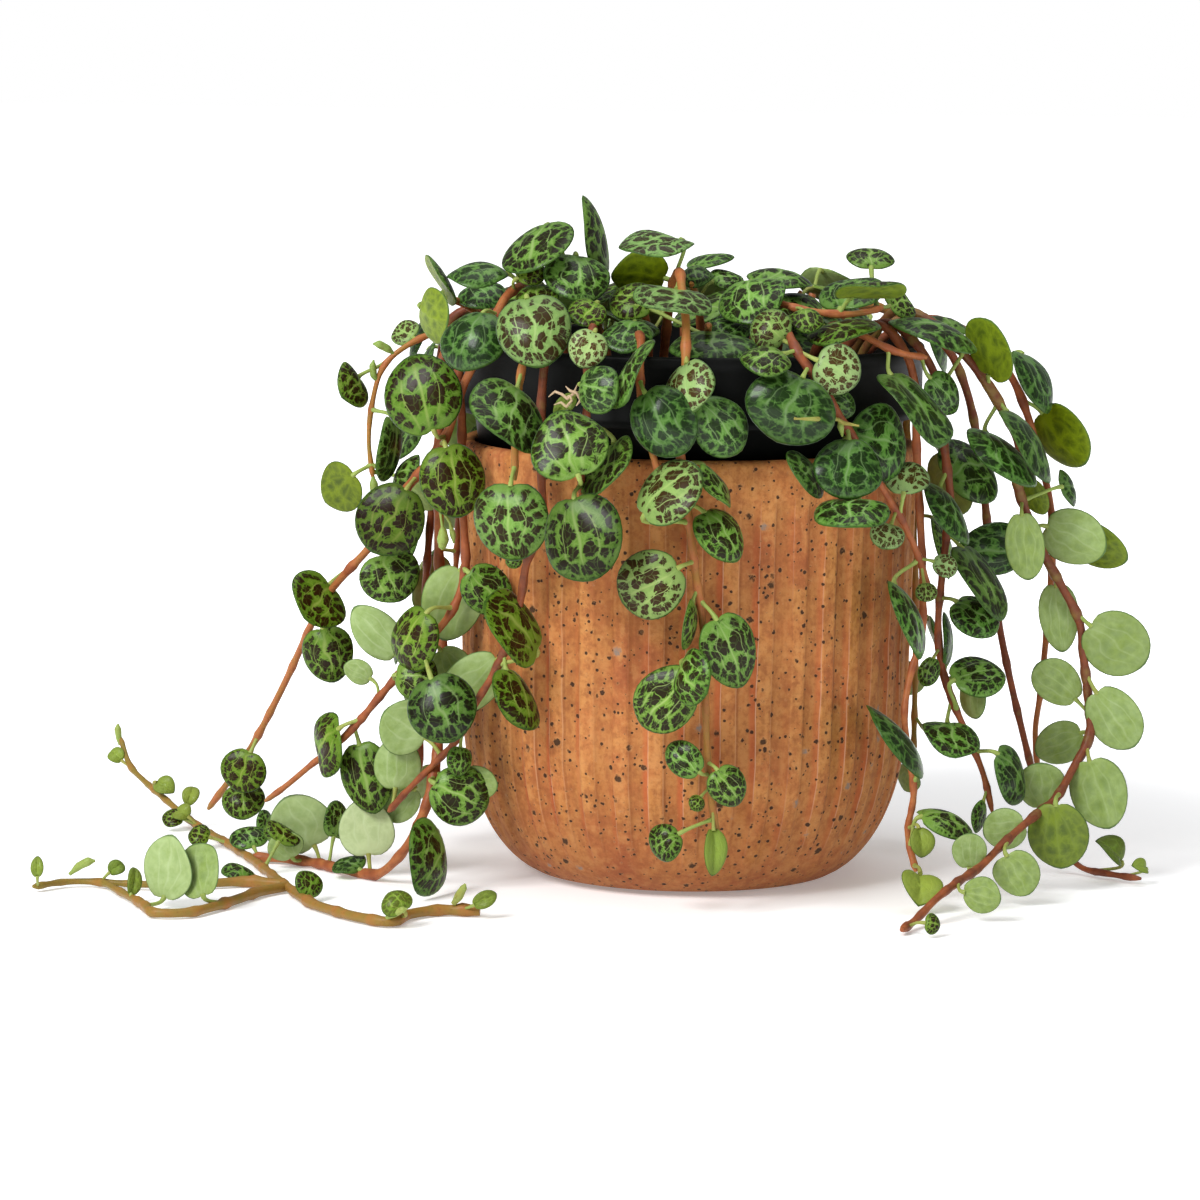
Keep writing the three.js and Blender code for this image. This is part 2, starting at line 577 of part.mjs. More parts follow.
// A leaf is one closed solid: a domed blade and the three-sided petiole that runs from its notch
// to the middle of the stem.
function leafGeometry(leaf) {
  const size = Math.min(1, leaf.width / 12);
  const count = leaf.rim.length;
  const ahead = leaf.base.clone().sub(leaf.node).normalize();
  const side = leaf.across.clone().addScaledVector(ahead, -leaf.across.dot(ahead)).normalize();
  const crown = side.clone().cross(ahead);
  const section = (point, radius) =>
    [[-0.87, -0.5], [0, 1], [0.87, -0.5]].map(([right, up]) =>
      point.clone().addScaledVector(side, right * radius).addScaledVector(crown, up * radius));
  const corners = [
    ...leaf.rim,
    onBlade(leaf, 0, -0.05, plant.bladeDome * (0.55 + 0.45 * size)),
    onBlade(leaf, 0, -0.05, -plant.bladeBelly),
    ...section(leaf.base, plant.petioleRadius),
    ...section(leaf.node, plant.petioleFoot),
  ];
  const [top, bottom, left, crest, right] = [count, count + 1, count + 2, count + 3, count + 4];
  const faces = [];
  for (let i = 0; i + 1 < count; i += 1) faces.push([i, i + 1, top], [i + 1, i, bottom]);
  faces.push([count - 1, left, top], [left, crest, top], [crest, right, top], [right, 0, top]);
  faces.push([left, count - 1, bottom], [right, left, bottom], [0, right, bottom]);
  for (const [one, next] of [[left, right], [right, crest], [crest, left]]) {
    faces.push([one, next, next + 3], [one, next + 3, one + 3]);
  }
  faces.push([left + 3, right + 3, crest + 3]);
  return toGeometry(corners, faces);
}

function toSolid(geometry) {
  const merged = mergeVertices(geometry, 1e-4);
  const mesh = new wasm.Mesh({
    numProp: 3,
    vertProperties: new Float32Array(merged.attributes.position.array),
    triVerts: new Uint32Array(merged.index.array),
  });
  return new wasm.Manifold(mesh);
}

function toMesh(solid, name, material) {
  const { vertProperties, triVerts, numProp } = solid.getMesh();
  const geometry = new THREE.BufferGeometry();
  const positions = new Float32Array((vertProperties.length / numProp) * 3);
  for (let i = 0; i * numProp < vertProperties.length; i += 1) {
    for (let axis = 0; axis < 3; axis += 1) positions[i * 3 + axis] = vertProperties[i * numProp + axis];
  }
  geometry.setAttribute("position", new THREE.BufferAttribute(positions, 3));
  geometry.setIndex(Array.from(triVerts));
  geometry.computeVertexNormals();
  const mesh = new THREE.Mesh(geometry, material);
  mesh.name = name;
  return mesh;
}

function ring(radiusAt, z, count) {
  const points = [];
  for (let i = 0; i < count; i += 1) {
    const angle = (i / count) * 2 * Math.PI;
    const radius = radiusAt(i);
    points.push(vector(radius * Math.cos(angle), radius * Math.sin(angle), z));
  }
  return points;
}

// Three corners for each flute: the middle of its groove and the two edges of the ridge beside it.
function coverPotSolid() {
  const { height, fluteTop, fluteDepth, flutes, curveHeight, mouthRadius } = coverPot;
  const row = (z, groove) => ring((i) => potWall(z) - (i % 3 === 0 ? groove : 0), z, flutes * 3);
  const outside = loft([
    row(0, 0), row(3.4, 0), row(14, fluteDepth * 0.5), row(curveHeight, fluteDepth),
    row(fluteTop - 2, fluteDepth), row(fluteTop + 1, 0), row(height, 0),
  ]);
  const cavity = [[coverPot.floorRadius, coverPot.floorThickness], [mouthRadius - 3.5, curveHeight * 0.65],
    [mouthRadius, curveHeight + 23], [mouthRadius, height + 1]];
  return toSolid(outside).subtract(turned(cavity, coverPot.cavitySides));
}

function turned(profile, sides) {
  return toSolid(loft(profile.map(([radius, z]) => ring(() => radius, z, sides))));
}

function nurseryWall(z) {
  const { rimTop, height, collarHeight, neckRadius, baseRadius } = nurseryPot;
  const share = (z - (rimTop - height)) / (height - collarHeight);
  return baseRadius + (neckRadius - baseRadius) * share;
}

function nurseryPotSolid() {
  const { rimTop, height, collarHeight, rimRadius, rimBevel, collarWall, wall, sides } = nurseryPot;
  const bottom = rimTop - height;
  const collar = rimTop - collarHeight;
  const collarFloor = collar + nurseryPot.collarFloor;
  const outside = [[nurseryWall(bottom), bottom], [nurseryWall(collar), collar], [rimRadius, collar],
    [rimRadius, rimTop - rimBevel], [rimRadius - rimBevel, rimTop]];
  const inside = [[nurseryWall(bottom) - wall, bottom + wall], [nurseryWall(collar) - wall, collarFloor],
    [rimRadius - collarWall, collarFloor], [rimRadius - collarWall, rimTop + 1]];
  return turned(outside, sides).subtract(turned(inside, sides));
}

function soilSolid(roots) {
  const { rimTop, height, collarHeight, rimRadius, collarWall, collarFloor, wall } = nurseryPot;
  const { top, gap, edgeDrop, sides, holeDepth, holeGap, holeSides } = soil;
  const bottom = rimTop - height + wall + gap;
  const step = rimTop - collarHeight + collarFloor + gap;
  const inner = (z) => nurseryWall(z) - wall - gap;
  const collarRadius = rimRadius - collarWall - gap;
  const profile = [[inner(bottom), bottom], [inner(step - gap), step - gap], [collarRadius, step],
    [collarRadius, top - edgeDrop], [collarRadius - edgeDrop, top]];
  const holeRadius = (plant.stemRadius + holeGap) / Math.cos(Math.PI / holeSides);
  const holes = roots.map(([x, y]) => {
    const axis = [vector(x, y, top - holeDepth), vector(x, y, top + 2)];
    return toSolid(tube(axis, holeRadius, holeSides));
  });
  return turned(profile, sides).subtract(wasm.Manifold.union(holes));
}

function finish(name, color, roughness) {
  return new THREE.MeshStandardMaterial({ name, color, roughness, metalness: 0 });
}

const finishes = {
  terracotta: finish("terracotta", 0xc8834a, 0.85),
  black_plastic: finish("black_plastic", 0x17191a, 0.5),
  potting_mix: finish("potting_mix", 0x3a2a1e, 1),
  foliage: finish("foliage", 0x4f8a3f, 0.45),
};

function growStrand(strand) {
  const [x, y] = strand.root;
  const points = strand.points ?? strand.route.map((row) => seen(...row));
  const foot = [vector(x, y, soil.top - soil.holeDepth + 1)];
  strand.stems = [layStem([vector(x, y, soil.top + 1), ...points], foot)];
  for (const branch of strand.branches ?? []) strand.stems.push(layStem(branch.map((row) => seen(...row))));
  for (const { samples } of strand.stems) {
    for (let i = 0; i + 1 < samples.length; i += 2) {
      const b = samples[Math.min(i + 2, samples.length - 1)];
      rods.push({ a: samples[i], b, radius: plant.stemRadius, owner: strand.name });
    }
  }
}

function leafSeen([x, z, depth, turn, lift, width, length]) {
  const scale = 1 + depth / viewpoint.distance;
  return { centre: seen(x, z, depth), turn, lift, width: width * scale, length: length * scale };
}

function leafStrand(strand) {
  const bearsLeaves = ({ x, y, z }) => z > soil.top + 4 || Math.hypot(x, y) > nurseryPot.rimRadius;
  const samples = strand.stems.flatMap((stem) => stem.samples).filter(bearsLeaves);
  strand.grown = [];
  for (const row of strand.leaves) {
    const leaf = placeLeaf(Array.isArray(row) ? leafSeen(row) : row, samples, strand.name);
    if (!leaf) continue;
    leaf.owner = strand.name;
    placed.push(leaf);
    const petiole = { a: leaf.node, b: leaf.base, radius: plant.petioleRadius, owner: strand.name };
    rods.push({ ...petiole, petiole: true });
    strand.grown.push(leaf);
  }
}

// The smallest leaves are too thin for solids of this kind, and only keep their place.
function strandSolid(strand) {
  const { stemRadius, stemSides, stemTip, smallestLeaf } = plant;
  const pieces = strand.stems.map(({ path }) => toSolid(tube(path, stemRadius, stemSides, stemTip)));
  for (const leaf of strand.grown) {
    if (leaf.width > smallestLeaf) pieces.push(toSolid(leafGeometry(leaf)));
  }
  return wasm.Manifold.union(pieces);
}

for (let index = 0; index < backStrands.count; index += 1) strands.push(backStrand(index));
for (let index = 0; index < middleShoots.count; index += 1) strands.push(middleShoot(index));
strands.forEach(growStrand);
strands.forEach(leafStrand);

const stringOfTurtles = new THREE.Group();
stringOfTurtles.name = "string_of_turtles";
stringOfTurtles.add(toMesh(coverPotSolid(), "cover_pot", finishes.terracotta));
stringOfTurtles.add(toMesh(nurseryPotSolid(), "nursery_pot", finishes.black_plastic));
const roots = strands.map((strand) => strand.root);
stringOfTurtles.add(toMesh(soilSolid(roots), "potting_soil", finishes.potting_mix));
for (const strand of strands) {
  stringOfTurtles.add(toMesh(strandSolid(strand), strand.name, finishes.foliage));
}

export default stringOfTurtles;
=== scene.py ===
import math
from functools import partial

import bmesh
import bpy
import numpy as np
from mathutils import Matrix, Vector


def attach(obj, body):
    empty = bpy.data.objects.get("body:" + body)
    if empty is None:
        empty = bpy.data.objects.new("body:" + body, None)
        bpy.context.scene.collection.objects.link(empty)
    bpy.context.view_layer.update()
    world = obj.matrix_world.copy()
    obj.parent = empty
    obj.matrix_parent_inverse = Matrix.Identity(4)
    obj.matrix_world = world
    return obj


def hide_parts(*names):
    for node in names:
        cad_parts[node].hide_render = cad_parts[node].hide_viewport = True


# A string of turtles in its nursery pot, standing in a speckled, fluted cover pot.
# Blender works in metres; sizes below are in millimetres unless a comment says otherwise.

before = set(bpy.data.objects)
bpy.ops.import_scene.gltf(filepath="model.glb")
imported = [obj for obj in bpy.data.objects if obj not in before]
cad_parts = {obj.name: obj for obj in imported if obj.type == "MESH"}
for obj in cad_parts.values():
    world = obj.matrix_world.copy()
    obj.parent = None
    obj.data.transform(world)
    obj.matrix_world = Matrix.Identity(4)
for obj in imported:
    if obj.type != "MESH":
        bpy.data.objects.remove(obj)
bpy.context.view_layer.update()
mm = 0.001


def linearColour(hexColour):
    # sRGB hex to the linear values that shaders take
    channels = []
    for start in (1, 3, 5):
        value = int(hexColour[start:start + 2], 16) / 255
        channels.append(value / 12.92 if value <= 0.04045 else ((value + 0.055) / 1.055) ** 2.4)
    return (*channels, 1.0)


# Short names of nodes with their settings; any other name in small letters is a math operation.
shortNames = {
    "mix": ("Mix", {"data_type": "RGBA"}),  # share, colour at 0, colour at 1
    "remap": ("MapRange", {}),  # value, its old range, its new range if that isn't 0 to 1
    "smooth remap": ("MapRange", {"interpolation_type": "SMOOTHSTEP"}),
    "noise": ("TexNoise", {}),  # place, scale, detail, roughness
}


def addNode(tree, kind, *terms, inputs=None, **settings):
    # terms fill the node's inputs in order; a node given as a value stands for its first output
    if kind in shortNames:
        kind, fixed = shortNames[kind]
        settings.update(fixed)
    elif kind.islower():
        settings["operation"] = kind.split()[-1].upper()
        kind = "VectorMath" if kind.startswith("vector ") else "Math"
    node = tree.nodes.new(kind if "Node" in kind else "ShaderNode" + kind)
    for name, value in settings.items():
        setattr(node, name, value)
    usable = [socket for socket in node.inputs if socket.enabled]
    named = [(node.inputs[name], value) for name, value in (inputs or {}).items()]
    for socket, value in [*zip(usable, terms), *named]:
        if isinstance(value, bpy.types.Node):
            value = next(output for output in value.outputs if output.enabled)
        if isinstance(value, bpy.types.NodeSocket):
            tree.links.new(value, socket)
        elif value is not None:
            socket.default_value = linearColour(value) if str(value).startswith("#") else value
    return node


def newMaterial(name):
    material = bpy.data.materials.new(name)
    material.use_nodes = True
    material.node_tree.nodes.clear()
    return material, partial(addNode, material.node_tree)


def finishSurface(node, strength, distance, height, inputs):
    # every material of the part ends in its relief, its shader and the output
    bump = node("Bump", inputs={"Strength": strength, "Distance": distance, "Height": height})
    node("OutputMaterial", node("BsdfPrincipled", inputs={**inputs, "Normal": bump}))


def newTree(name, sockets):
    # a node group from geometry to geometry, with more inputs by name
    tree = bpy.data.node_groups.new(name, "GeometryNodeTree")
    for socket, kind in {"Geometry": "Geometry", **sockets}.items():
        tree.interface.new_socket(name=socket, in_out="INPUT", socket_type="NodeSocket" + kind)
    tree.interface.new_socket(name="Geometry", in_out="OUTPUT", socket_type="NodeSocketGeometry")
    return tree, partial(addNode, tree)


def applyTree(piece, tree, settings):
    # the tree's result becomes the piece's own mesh
    modifier = piece.modifiers.new(tree.name, "NODES")
    modifier.node_group = tree
    for item in tree.interface.items_tree:
        if item.in_out == "INPUT" and item.name in settings:
            modifier[item.identifier] = settings[item.name]
    graph = bpy.context.evaluated_depsgraph_get()
    made = bpy.data.meshes.new_from_object(piece.evaluated_get(graph), depsgraph=graph)
    made.name = piece.name
    piece.modifiers.clear()
    piece.data = made


def fillRamp(ramp, stops):
    # stops are (place, hex colour), in order
    while len(ramp.elements) < len(stops):
        ramp.elements.new(0.5)
    for element, (place, hexColour) in zip(ramp.elements, stops):
        element.position = place
        element.color = linearColour(hexColour)


def showMesh(name, corners, faces, smooth=True):
    # corners in millimetres; the object stands at the origin, its place is in its mesh
    mesh = bpy.data.meshes.new(name)
    mesh.from_pydata([tuple(float(c) * mm for c in corner) for corner in corners], [], faces)
    if smooth:
        mesh.shade_smooth()
    piece = bpy.data.objects.new(name, mesh)
    bpy.context.scene.collection.objects.link(piece)
    return piece


coverPot = {
    "height": 98,
    "rimRadius": 51.5,
    "shoulderRadius": 50.2,
    "curveHeight": 37,
    "footRadius": 29.5,
    "mouthRadius": 47.8,
    "floorRadius": 31,
    "floorThickness": 6,
    "flutes": 40,
    "fluteDepth": 0.7,
    "fluteTop": 90,
}

nurseryPot = {
    "height": 94,
    "rimRadius": 52.5,
    "rimTop": 120.3,
    "collarHeight": 15.6,
    "collarWall": 1.6,
    "collarFloor": 1.4,
    "neckRadius": 48.3,
    "baseRadius": 37,
    "wall": 1.3,
}

soil = {
    "top": 113,
    "holeDepth": 14,
}

# shades: per leaf, above 0 a painted shade that darkens the whole leaf, below 0 a paler, creamier net
strands = [
    {"name": "strand_front_middle", "root": [-6, -14], "bark": 0.5,
     "shades": {0: -0.4, 1: -0.4, 2: -0.8, 4: -0.5, 7: -0.5, 9: -0.15},
     "looks": [0.6, 0.6, 0.12, 0.85, 0.25, 0.6, 0.5, 0.3, 0.4, 0.5, 0.5, 0.4, 0.6, 0.55, 0.3, 0.4, -1],
     "sprigs": [
      {"bark": 3.4, "route": [[-5.6, 97.4, -59, 0.1], [-4.6, 98, -59.4, 0.28], [-3.6, 97.2, -59.6, 0.32],
       [-2.6, 98.6, -59.2, 0.22], [-1.4, 99.6, -59, 0.12]]}],
     "route": [[-5, 126, -22], [-3, 136, -34], [-2, 131, -45], [-1, 124, -52], [-1, 116, -56],
      [-1, 104, -57], [-2, 94, -57], [0, 83, -57], [1, 73, -57], [3, 62, -57], [4, 53, -57], [5, 30, -57],
      [6, 17, -56], [9, 3, -55]],
     "leaves": [[-8, 142, -34, 22, 79, 17, 17], [-4, 129, -51, 28, 71, 18, 18],
      [0, 110, -60, -36, 22, 13, 13], [7, 101, -59, 22, 8, 13, 15], [-4.5, 86, -61, -38, 30, 17, 17],
      [6, 87.5, -60, 73, 33, 12, 12], [7.5, 76.5, -61, 40, 36, 14, 14], [-8, 65, -61, -10, 10, 16, 16],
      [1, 56, -61, 78, 0, 10, 12], [10, 50, -60, 26, 5, 14, 18], [-4, 39, -61, -12, 5, 14, 17],
      [1, 44, -63, -62, 14, 13, 13], [0, 25, -60, -10, 8, 8, 10], [10, 19, -60, 12, 10, 9, 10],
      [3, 15, -59, 20, 20, 4, 4], [-4, 6, -58, -15, 15, 9, 8], [7, 4, -58, 30, 10, 6, 11]]},
    {"name": "strand_front_second", "root": [-11, -27], "bark": 0.6, "shades": {2: 0.7},
     "looks": [0.8, 0.7, 0.92],
     "route": [[-12, 121, -44], [-11, 119.5, -53], [-11, 108, -56], [-9, 97, -57], [-7, 91, -58],
      [-4, 82, -59]],
     "leaves": [[-14, 121, -46, -10, 58, 12, 12], [-13, 112.5, -58, -83, 29, 18, 18],
      [-6, 102, -60, -16, 12, 15, 17]]},
    {"name": "strand_front_young", "root": [-20, -22], "bark": 0.9, "shades": {1: -0.9, 6: 0.9},
     "looks": [0.1, 0, -0.6, 0.85, 0.55, 0.5, 0.42],
     "sprigs": [
      {"bark": 3.5, "route": [[-31.6, 107, -58, 0.1], [-30.2, 108.2, -59, 0.28], [-28.6, 107.6, -59.6, 0.3],
       [-27.4, 106.6, -59.8, 0.34], [-26, 107.8, -59.2, 0.3], [-25.2, 109.8, -58.4, 0.1]]},
      {"bark": 3.2, "route": [[-30.4, 105.2, -59, 0.1], [-28.8, 105.8, -60, 0.26],
       [-27.6, 104.8, -60.2, 0.32], [-26.4, 106.2, -59.8, 0.28], [-26.8, 107.4, -59.6, 0.24],
       [-28, 106.8, -59.8, 0.1]]},
      {"bark": 3.7, "route": [[-27.8, 109.4, -58.6, 0.1], [-26.8, 108.4, -59.4, 0.3],
       [-25.4, 108, -59.4, 0.34], [-24.4, 106.4, -59, 0.3], [-25.4, 105, -59.4, 0.1]]}],
     "route": [[-21, 124, -34], [-22, 122, -46], [-23, 115, -53], [-23, 104, -56], [-24, 94, -57],
      [-24, 84, -57]],
     "leaves": [[-23, 126, -42, 0, 45, 9, 8], [-23, 118, -58, 0, 12, 9, 9], [-28, 105, -58, -10, 10, 4, 7],
      [-21, 109, -57, -40, 15, 11, 11], [-27, 96, -62, -8, 28, 18, 17], [-18, 91.5, -60, -62, 36, 17, 17],
      [-23.5, 75.5, -60, -23, 6, 20, 20]]},
    {"name": "strand_front_left", "root": [-30, -17], "bark": 0.5, "shades": {0: -0.5, 1: 0.5, 2: -0.2},
     "looks": [0.4, 0.7, 0.4],
     "route": [[-32, 124, -30], [-36, 120, -41], [-38, 111, -46], [-39, 100, -48], [-39, 88, -49]],
     "leaves": [[-35, 122, -50, -5, 26, 17, 18], [-40.5, 103, -53, 45, 35, 20, 20],
      [-40, 79, -53, -15, 6, 18, 18]]},
    {"name": "strand_left_red", "root": [-25, -29], "bark": 1,
     "looks": [0.3, 0.08, 0.08, 0.1, 0.4, 0.05, 0.05, 0.05],
     "route": [[-28, 123, -37], [-31, 120, -44], [-33, 111, -46], [-33, 98, -46], [-33, 84, -47],
      [-33, 75, -47], [-36, 70, -46], [-37, 63, -45], [-41, 49, -42], [-48, 36, -38], [-52, 28, -34],
      [-59, 21, -29], [-67, 12, -24]],
     "leaves": [[-39, 70, -50, 10, 10, 4, 4], [-39, 54.5, -49, 58, 27, 19, 19],
      [-38, 38.5, -46, 62, 31, 16, 16], [-48, 42, -33, 178, 6, 12, 17], [-51, 24, -38, 20, 20, 6, 7],
      [-63, 32, -28, 178, 12, 15, 12], [-65, 23, -24, 176, 6, 11, 13], [-64, 14, -20, 160, 5, 8, 11]]},
    {"name": "strand_left_low", "root": [-37, -11], "bark": 0.75, "shades": {5: 0.9},
     "looks": [0.35, 0.08, 0.2, 0.3, 0.4, 0.65, 0.1, 0, 0.02, 0.4],
     "route": [[-41, 125, -18], [-47, 125.5, -20], [-51.5, 117, -21], [-51, 100, -24], [-51, 84, -27],
      [-50, 70, -28], [-51, 62, -29], [-56, 54, -29], [-67, 41, -26], [-77, 29, -20], [-84, 23, -14],
      [-91, 17, -8], [-95, 14, -4]],
     "leaves": [[-45, 63, -35, 6, 8, 11, 13], [-61.5, 52, -33, -42, 9, 15, 15],
      [-53, 60, -20, 176, 6, 14, 18], [-53, 46, -24, 178, 5, 9, 9], [-61, 43, -32, -5, 22, 11, 10],
      [-55, 36, -35, -5, 14, 16, 16], [-74, 44, -18, 170, 10, 6, 7], [-70, 53, -17, 176, 6, 10, 15],
      [-81, 27, -18, -60, 6, 15, 15], [-72, 20, -23, -10, 5, 12, 17]]},
    {"name": "strand_left_long", "root": [-27, -5], "bark": 0.62, "stout": [1.0, 0.72],
     "shades": {3: 0.9, 5: 1.2},
     "looks": [0.1, 0.9, 0.92, 0.15, 0.1, 0.05, 0.5, 0.02, 0.25, 0.02, 0.3],
     "sprigs": [
      {"bark": 2.2, "round": True, "route": [[-58, 93, -24, 0.35], [-56.6, 86, -26, 0.28],
       [-55.3, 77.5, -28, 0.3], [-55.1, 76.2, -28, 0.95], [-55.1, 74.4, -28, 1.35], [-55.2, 72.7, -28, 0.9],
       [-55.2, 72, -28, 0.2]]},
      {"bark": 2.1, "round": True, "route": [[-56, 82, -27, 0.28], [-53.6, 78.2, -27, 0.3],
       [-52.9, 75.6, -27, 0.7], [-52.6, 73.6, -27, 0.25]]}],
     "route": [[-32, 125, -14], [-39, 132, -24], [-43, 126, -31], [-46, 119, -33], [-51, 109, -28],
      [-55, 97, -24], [-64, 85, -20], [-72, 72, -12], [-80, 63, -4], [-86, 52, 4], [-88, 47, 8],
      [-99, 25, 20], [-108, 12, 30]],
     "leaves": [[-36, 135, -30, 0, 32, 7, 7], [-47.5, 135, -25, 19, 74, 14, 14],
      [-49, 120, -40, -22, 35, 16, 15], [-60, 107, -31, -10, 10, 18, 19], [-53, 88, -33, 10, 8, 15, 17],
      [-67, 79, -26, -8, 10, 16, 17], [-67, 66, -20, -5, 22, 14, 12], [-83.5, 60, -8, 45, 33, 15, 15],
      [-81, 48, -2, -8, 8, 12, 13], [-100, 21, 16, -10, 10, 11, 10], [-100, 14, 22, -5, 25, 10, 9]]},
    {"name": "strand_left_arc", "root": [-35, 3], "bark": 0.5, "stout": [0.78, 0.46],
     "shades": {0: -0.5, 4: 0.8},
     "looks": [0.3, 0.2, 0.8, 0.5, 1, 0.35],
     "sprigs": [
      {"bark": 2.4, "round": True, "route": [[-66.5, 116.2, -10, 0.35], [-68, 117.4, -10.5, 0.9],
       [-69.8, 118.3, -11, 0.95], [-71.2, 118.4, -11, 0.25]]},
      {"bark": 2.4, "round": True, "route": [[-70, 109.8, -10, 0.35], [-71, 111.4, -10.5, 0.8],
       [-71.2, 113.4, -11, 0.8], [-71, 114.8, -11, 0.2]]},
      {"bark": 2.3, "round": True, "route": [[-71, 88.5, -10, 0.4], [-70.8, 86.6, -10, 1.0],
       [-70.6, 84.4, -10, 0.9], [-70.5, 83, -10, 0.25]]}],
     "route": [[-44, 123, 2], [-54, 122, -6], [-62, 119, -9], [-67, 116, -10], [-70, 110, -10],
      [-72, 99, -10], [-71, 88, -10]],
     "leaves": [[-64, 121, -3, -30, 40, 7, 7], [-75.5, 109, -12, 71, 26, 11, 11],
      [-67, 95, -15, 66, 5, 11, 15], [-64, 89.5, -18, -73, 32, 10, 10], [-78, 86, -8, 142, 13, 12, 12],
      [-60, 85, -2, 172, 5, 8, 10]]},
    {"name": "strand_left_runner", "root": [-41, -1], "bark": 0.75, "branchBark": 0.2, "stout": [1.1, 0.95],
     "looks": [0.5, 0.25, 0.35, -0.8, -0.2, 0.4, -0.15, 0.25, -0.9, -1, -1, 0.05, -1, -0.8, -0.7, -0.6, 0.5,
      0.05, -0.3, -0.6],
     "sprigs": [
      {"bark": 2.1, "round": True, "route": [[-128, 26.4, 77.5, 0.5], [-128.4, 28.2, 78, 0.75],
       [-128.6, 30, 78, 0.85], [-128.6, 31.2, 78, 0.3]]},
      {"bark": 2.2, "round": True, "route": [[-139.6, -3.6, -36, 0.4], [-137.4, -1.6, -37, 0.9],
       [-135.4, -0.6, -38, 1.0], [-133.8, -0.4, -38, 0.3]]},
      {"bark": 1.9, "round": True, "route": [[-52, -9, -62, 0.6], [-50.8, -7.2, -63, 1.0],
       [-49.8, -5.4, -64, 0.8], [-49.4, -4.4, -64, 0.25]]},
      {"bark": 2.0, "round": True, "route": [[-67.2, -12.6, -76, 0.5], [-65.4, -11.4, -77, 0.9],
       [-63.6, -10.6, -78, 0.7], [-62.6, -10.4, -78, 0.2]]}],
     "route": [[-47, 124, -8], [-54, 119.5, -12], [-56, 108, -14], [-56, 90, -14], [-56, 70, -15],
      [-55, 52, -16], [-55, 40, -19], [-56, 26, -26], [-58, 15, -31], [-61, 7, -31], [-66, 0, -27],
      [-70, -2, -22], [-77, -1, -16], [-87, 1, -5], [-98, 1.6, -2]],
     "branches": [
      [[-46, -10, -62], [-56, -10, -62], [-61, -10.5, -65], [-67, -13, -76], [-77, -11, -67],
       [-84, -9, -57], [-90, -5, -37], [-98, 1, -5], [-104, 5, 17], [-111, 9, 40], [-120, 16, 58],
       [-126, 22, 72], [-128, 28, 78]],
      [[-90, -5, -37], [-95, -6, -42], [-107, -10, -62], [-118, -12, -72], [-124, -9, -57], [-132, -5, -37],
       [-135, -4, -33], [-148, -6, -42]],
      [[-91, -4, -34], [-98, -4, -32], [-115, -5, -37], [-126, -5, -37], [-133, -4.5, -35]]],
     "leaves": [[-51, 16, -38, 5, 5, 14, 14], [-47, 19, -34, 172, 5, 8, 10],
      [-57, 1.5, -41, 71, 13, 18, 18], [-72, 8, -20, 176, 8, 13, 14], [-87, 9, -6, 178, 8, 15, 14],
      [-91, 6, -1, 20, 60, 9, 9], [-116.5, -2, -57, 142, -15, 15, 15], [-110, -2.5, -60, 142, -15, 13, 13],
      [-118, 17, 54, 0, 40, 5, 5], [-112, 15, 42, 0, 30, 4, 5], [-114, 11, 38, 0, 40, 5, 4],
      [-110, 6, 14, 10, 40, 6, 5], [-129, 24, 74, 0, 30, 4, 4], [-147, -2, -44, 0, 20, 3, 5],
      [-129, -2, -36, 0, 30, 4, 4], [-125, -5, -52, 40, 20, 4, 7], [-101, -2.5, -20, 45, 63, 8, 8],
      [-85, -5, -48, 30, 30, 7, 7], [-65, -9, -76, 10, 40, 8, 6], [-45, -8, -64, 0, 10, 4, 6]],
     "smallLeaves": [[-116, 7.4, 38, 0, 40, 5, 5, 0.05], [-95.3, 9, 10, 60, 20, 5, 7, 0.6],
      [-98.7, 5.4, 4, 0, 62, 9, 8, 0.7], [-91, 6.7, -12, 30, 35, 9, 6, 0.15],
      [-78.7, 9.9, -8, 40, 10, 7, 9, 0.6], [-76, -1.2, -18, 0, 66, 9, 7, 0.9],
      [-90.5, 0.5, -10, 170, 10, 9, 7, 0.1]]},
    {"name": "strand_right_front", "root": [19, -21], "bark": 0.85,
     "shades": {0: -0.4, 2: -0.9, 3: 0.3, 7: -0.9, 10: -0.9, 11: -0.9, 12: -0.4},
     "looks": [0.15, 0.6, 0.05, 0.95, 0.9, 0.8, 0.9, 0, 0.8, 0.7, 0.15, 0.1, 0.1, 0.7],
     "sprigs": [
      {"bark": 1.7, "route": [[23.6, 102.9, -63.5, 0.32], [24.4, 102.8, -63.3, 0.22],
       [28.3, 102.8, -60.5, 0.5], [30.4, 102.9, -57.5, 0.55], [33.4, 102.8, -53.5, 0.4],
       [34.6, 102, -52.5, 0.5], [38.2, 101.4, -53, 0.2]]},
      {"bark": 2.3, "route": [[33.9, 102.6, -52.2, 0.5], [34.1, 101, -52.4, 0.75],
       [34.5, 99, -51.8, 0.2]]}],
     "route": [[20, 124, -34], [22, 122, -45], [24, 118, -51], [29, 111, -51], [36, 100, -48],
      [44, 87, -44], [50, 77, -39], [55, 64, -33]],
     "leaves": [[18, 123, -46, 0, 15, 10, 9], [17, 116, -56, 0, 64, 13, 11], [33, 114, -53, 5, 12, 12, 11],
      [23, 106, -58, 4, 22, 21, 16], [34, 106, -46, 10, 10, 7, 7], [43, 98, -42, 22, 18, 18, 15],
      [36, 92, -55, 8, 28, 16, 15], [49, 90, -48, 4, 47, 11, 11], [26.5, 90.5, -55, 68, 36, 13, 13],
      [37, 82.5, -51, -8, 80, 17, 17], [45, 77, -47, 10, 45, 8, 7], [58, 70, -37, 20, 30, 6, 6],
      [54, 64, -38, 0, 30, 5, 5], [50.5, 58.5, -37, 78, 31, 19, 19]]},
    {"name": "strand_right_short", "root": [25, -24], "bark": 0.7,
     "looks": [0.85, 0.85, 0.3],
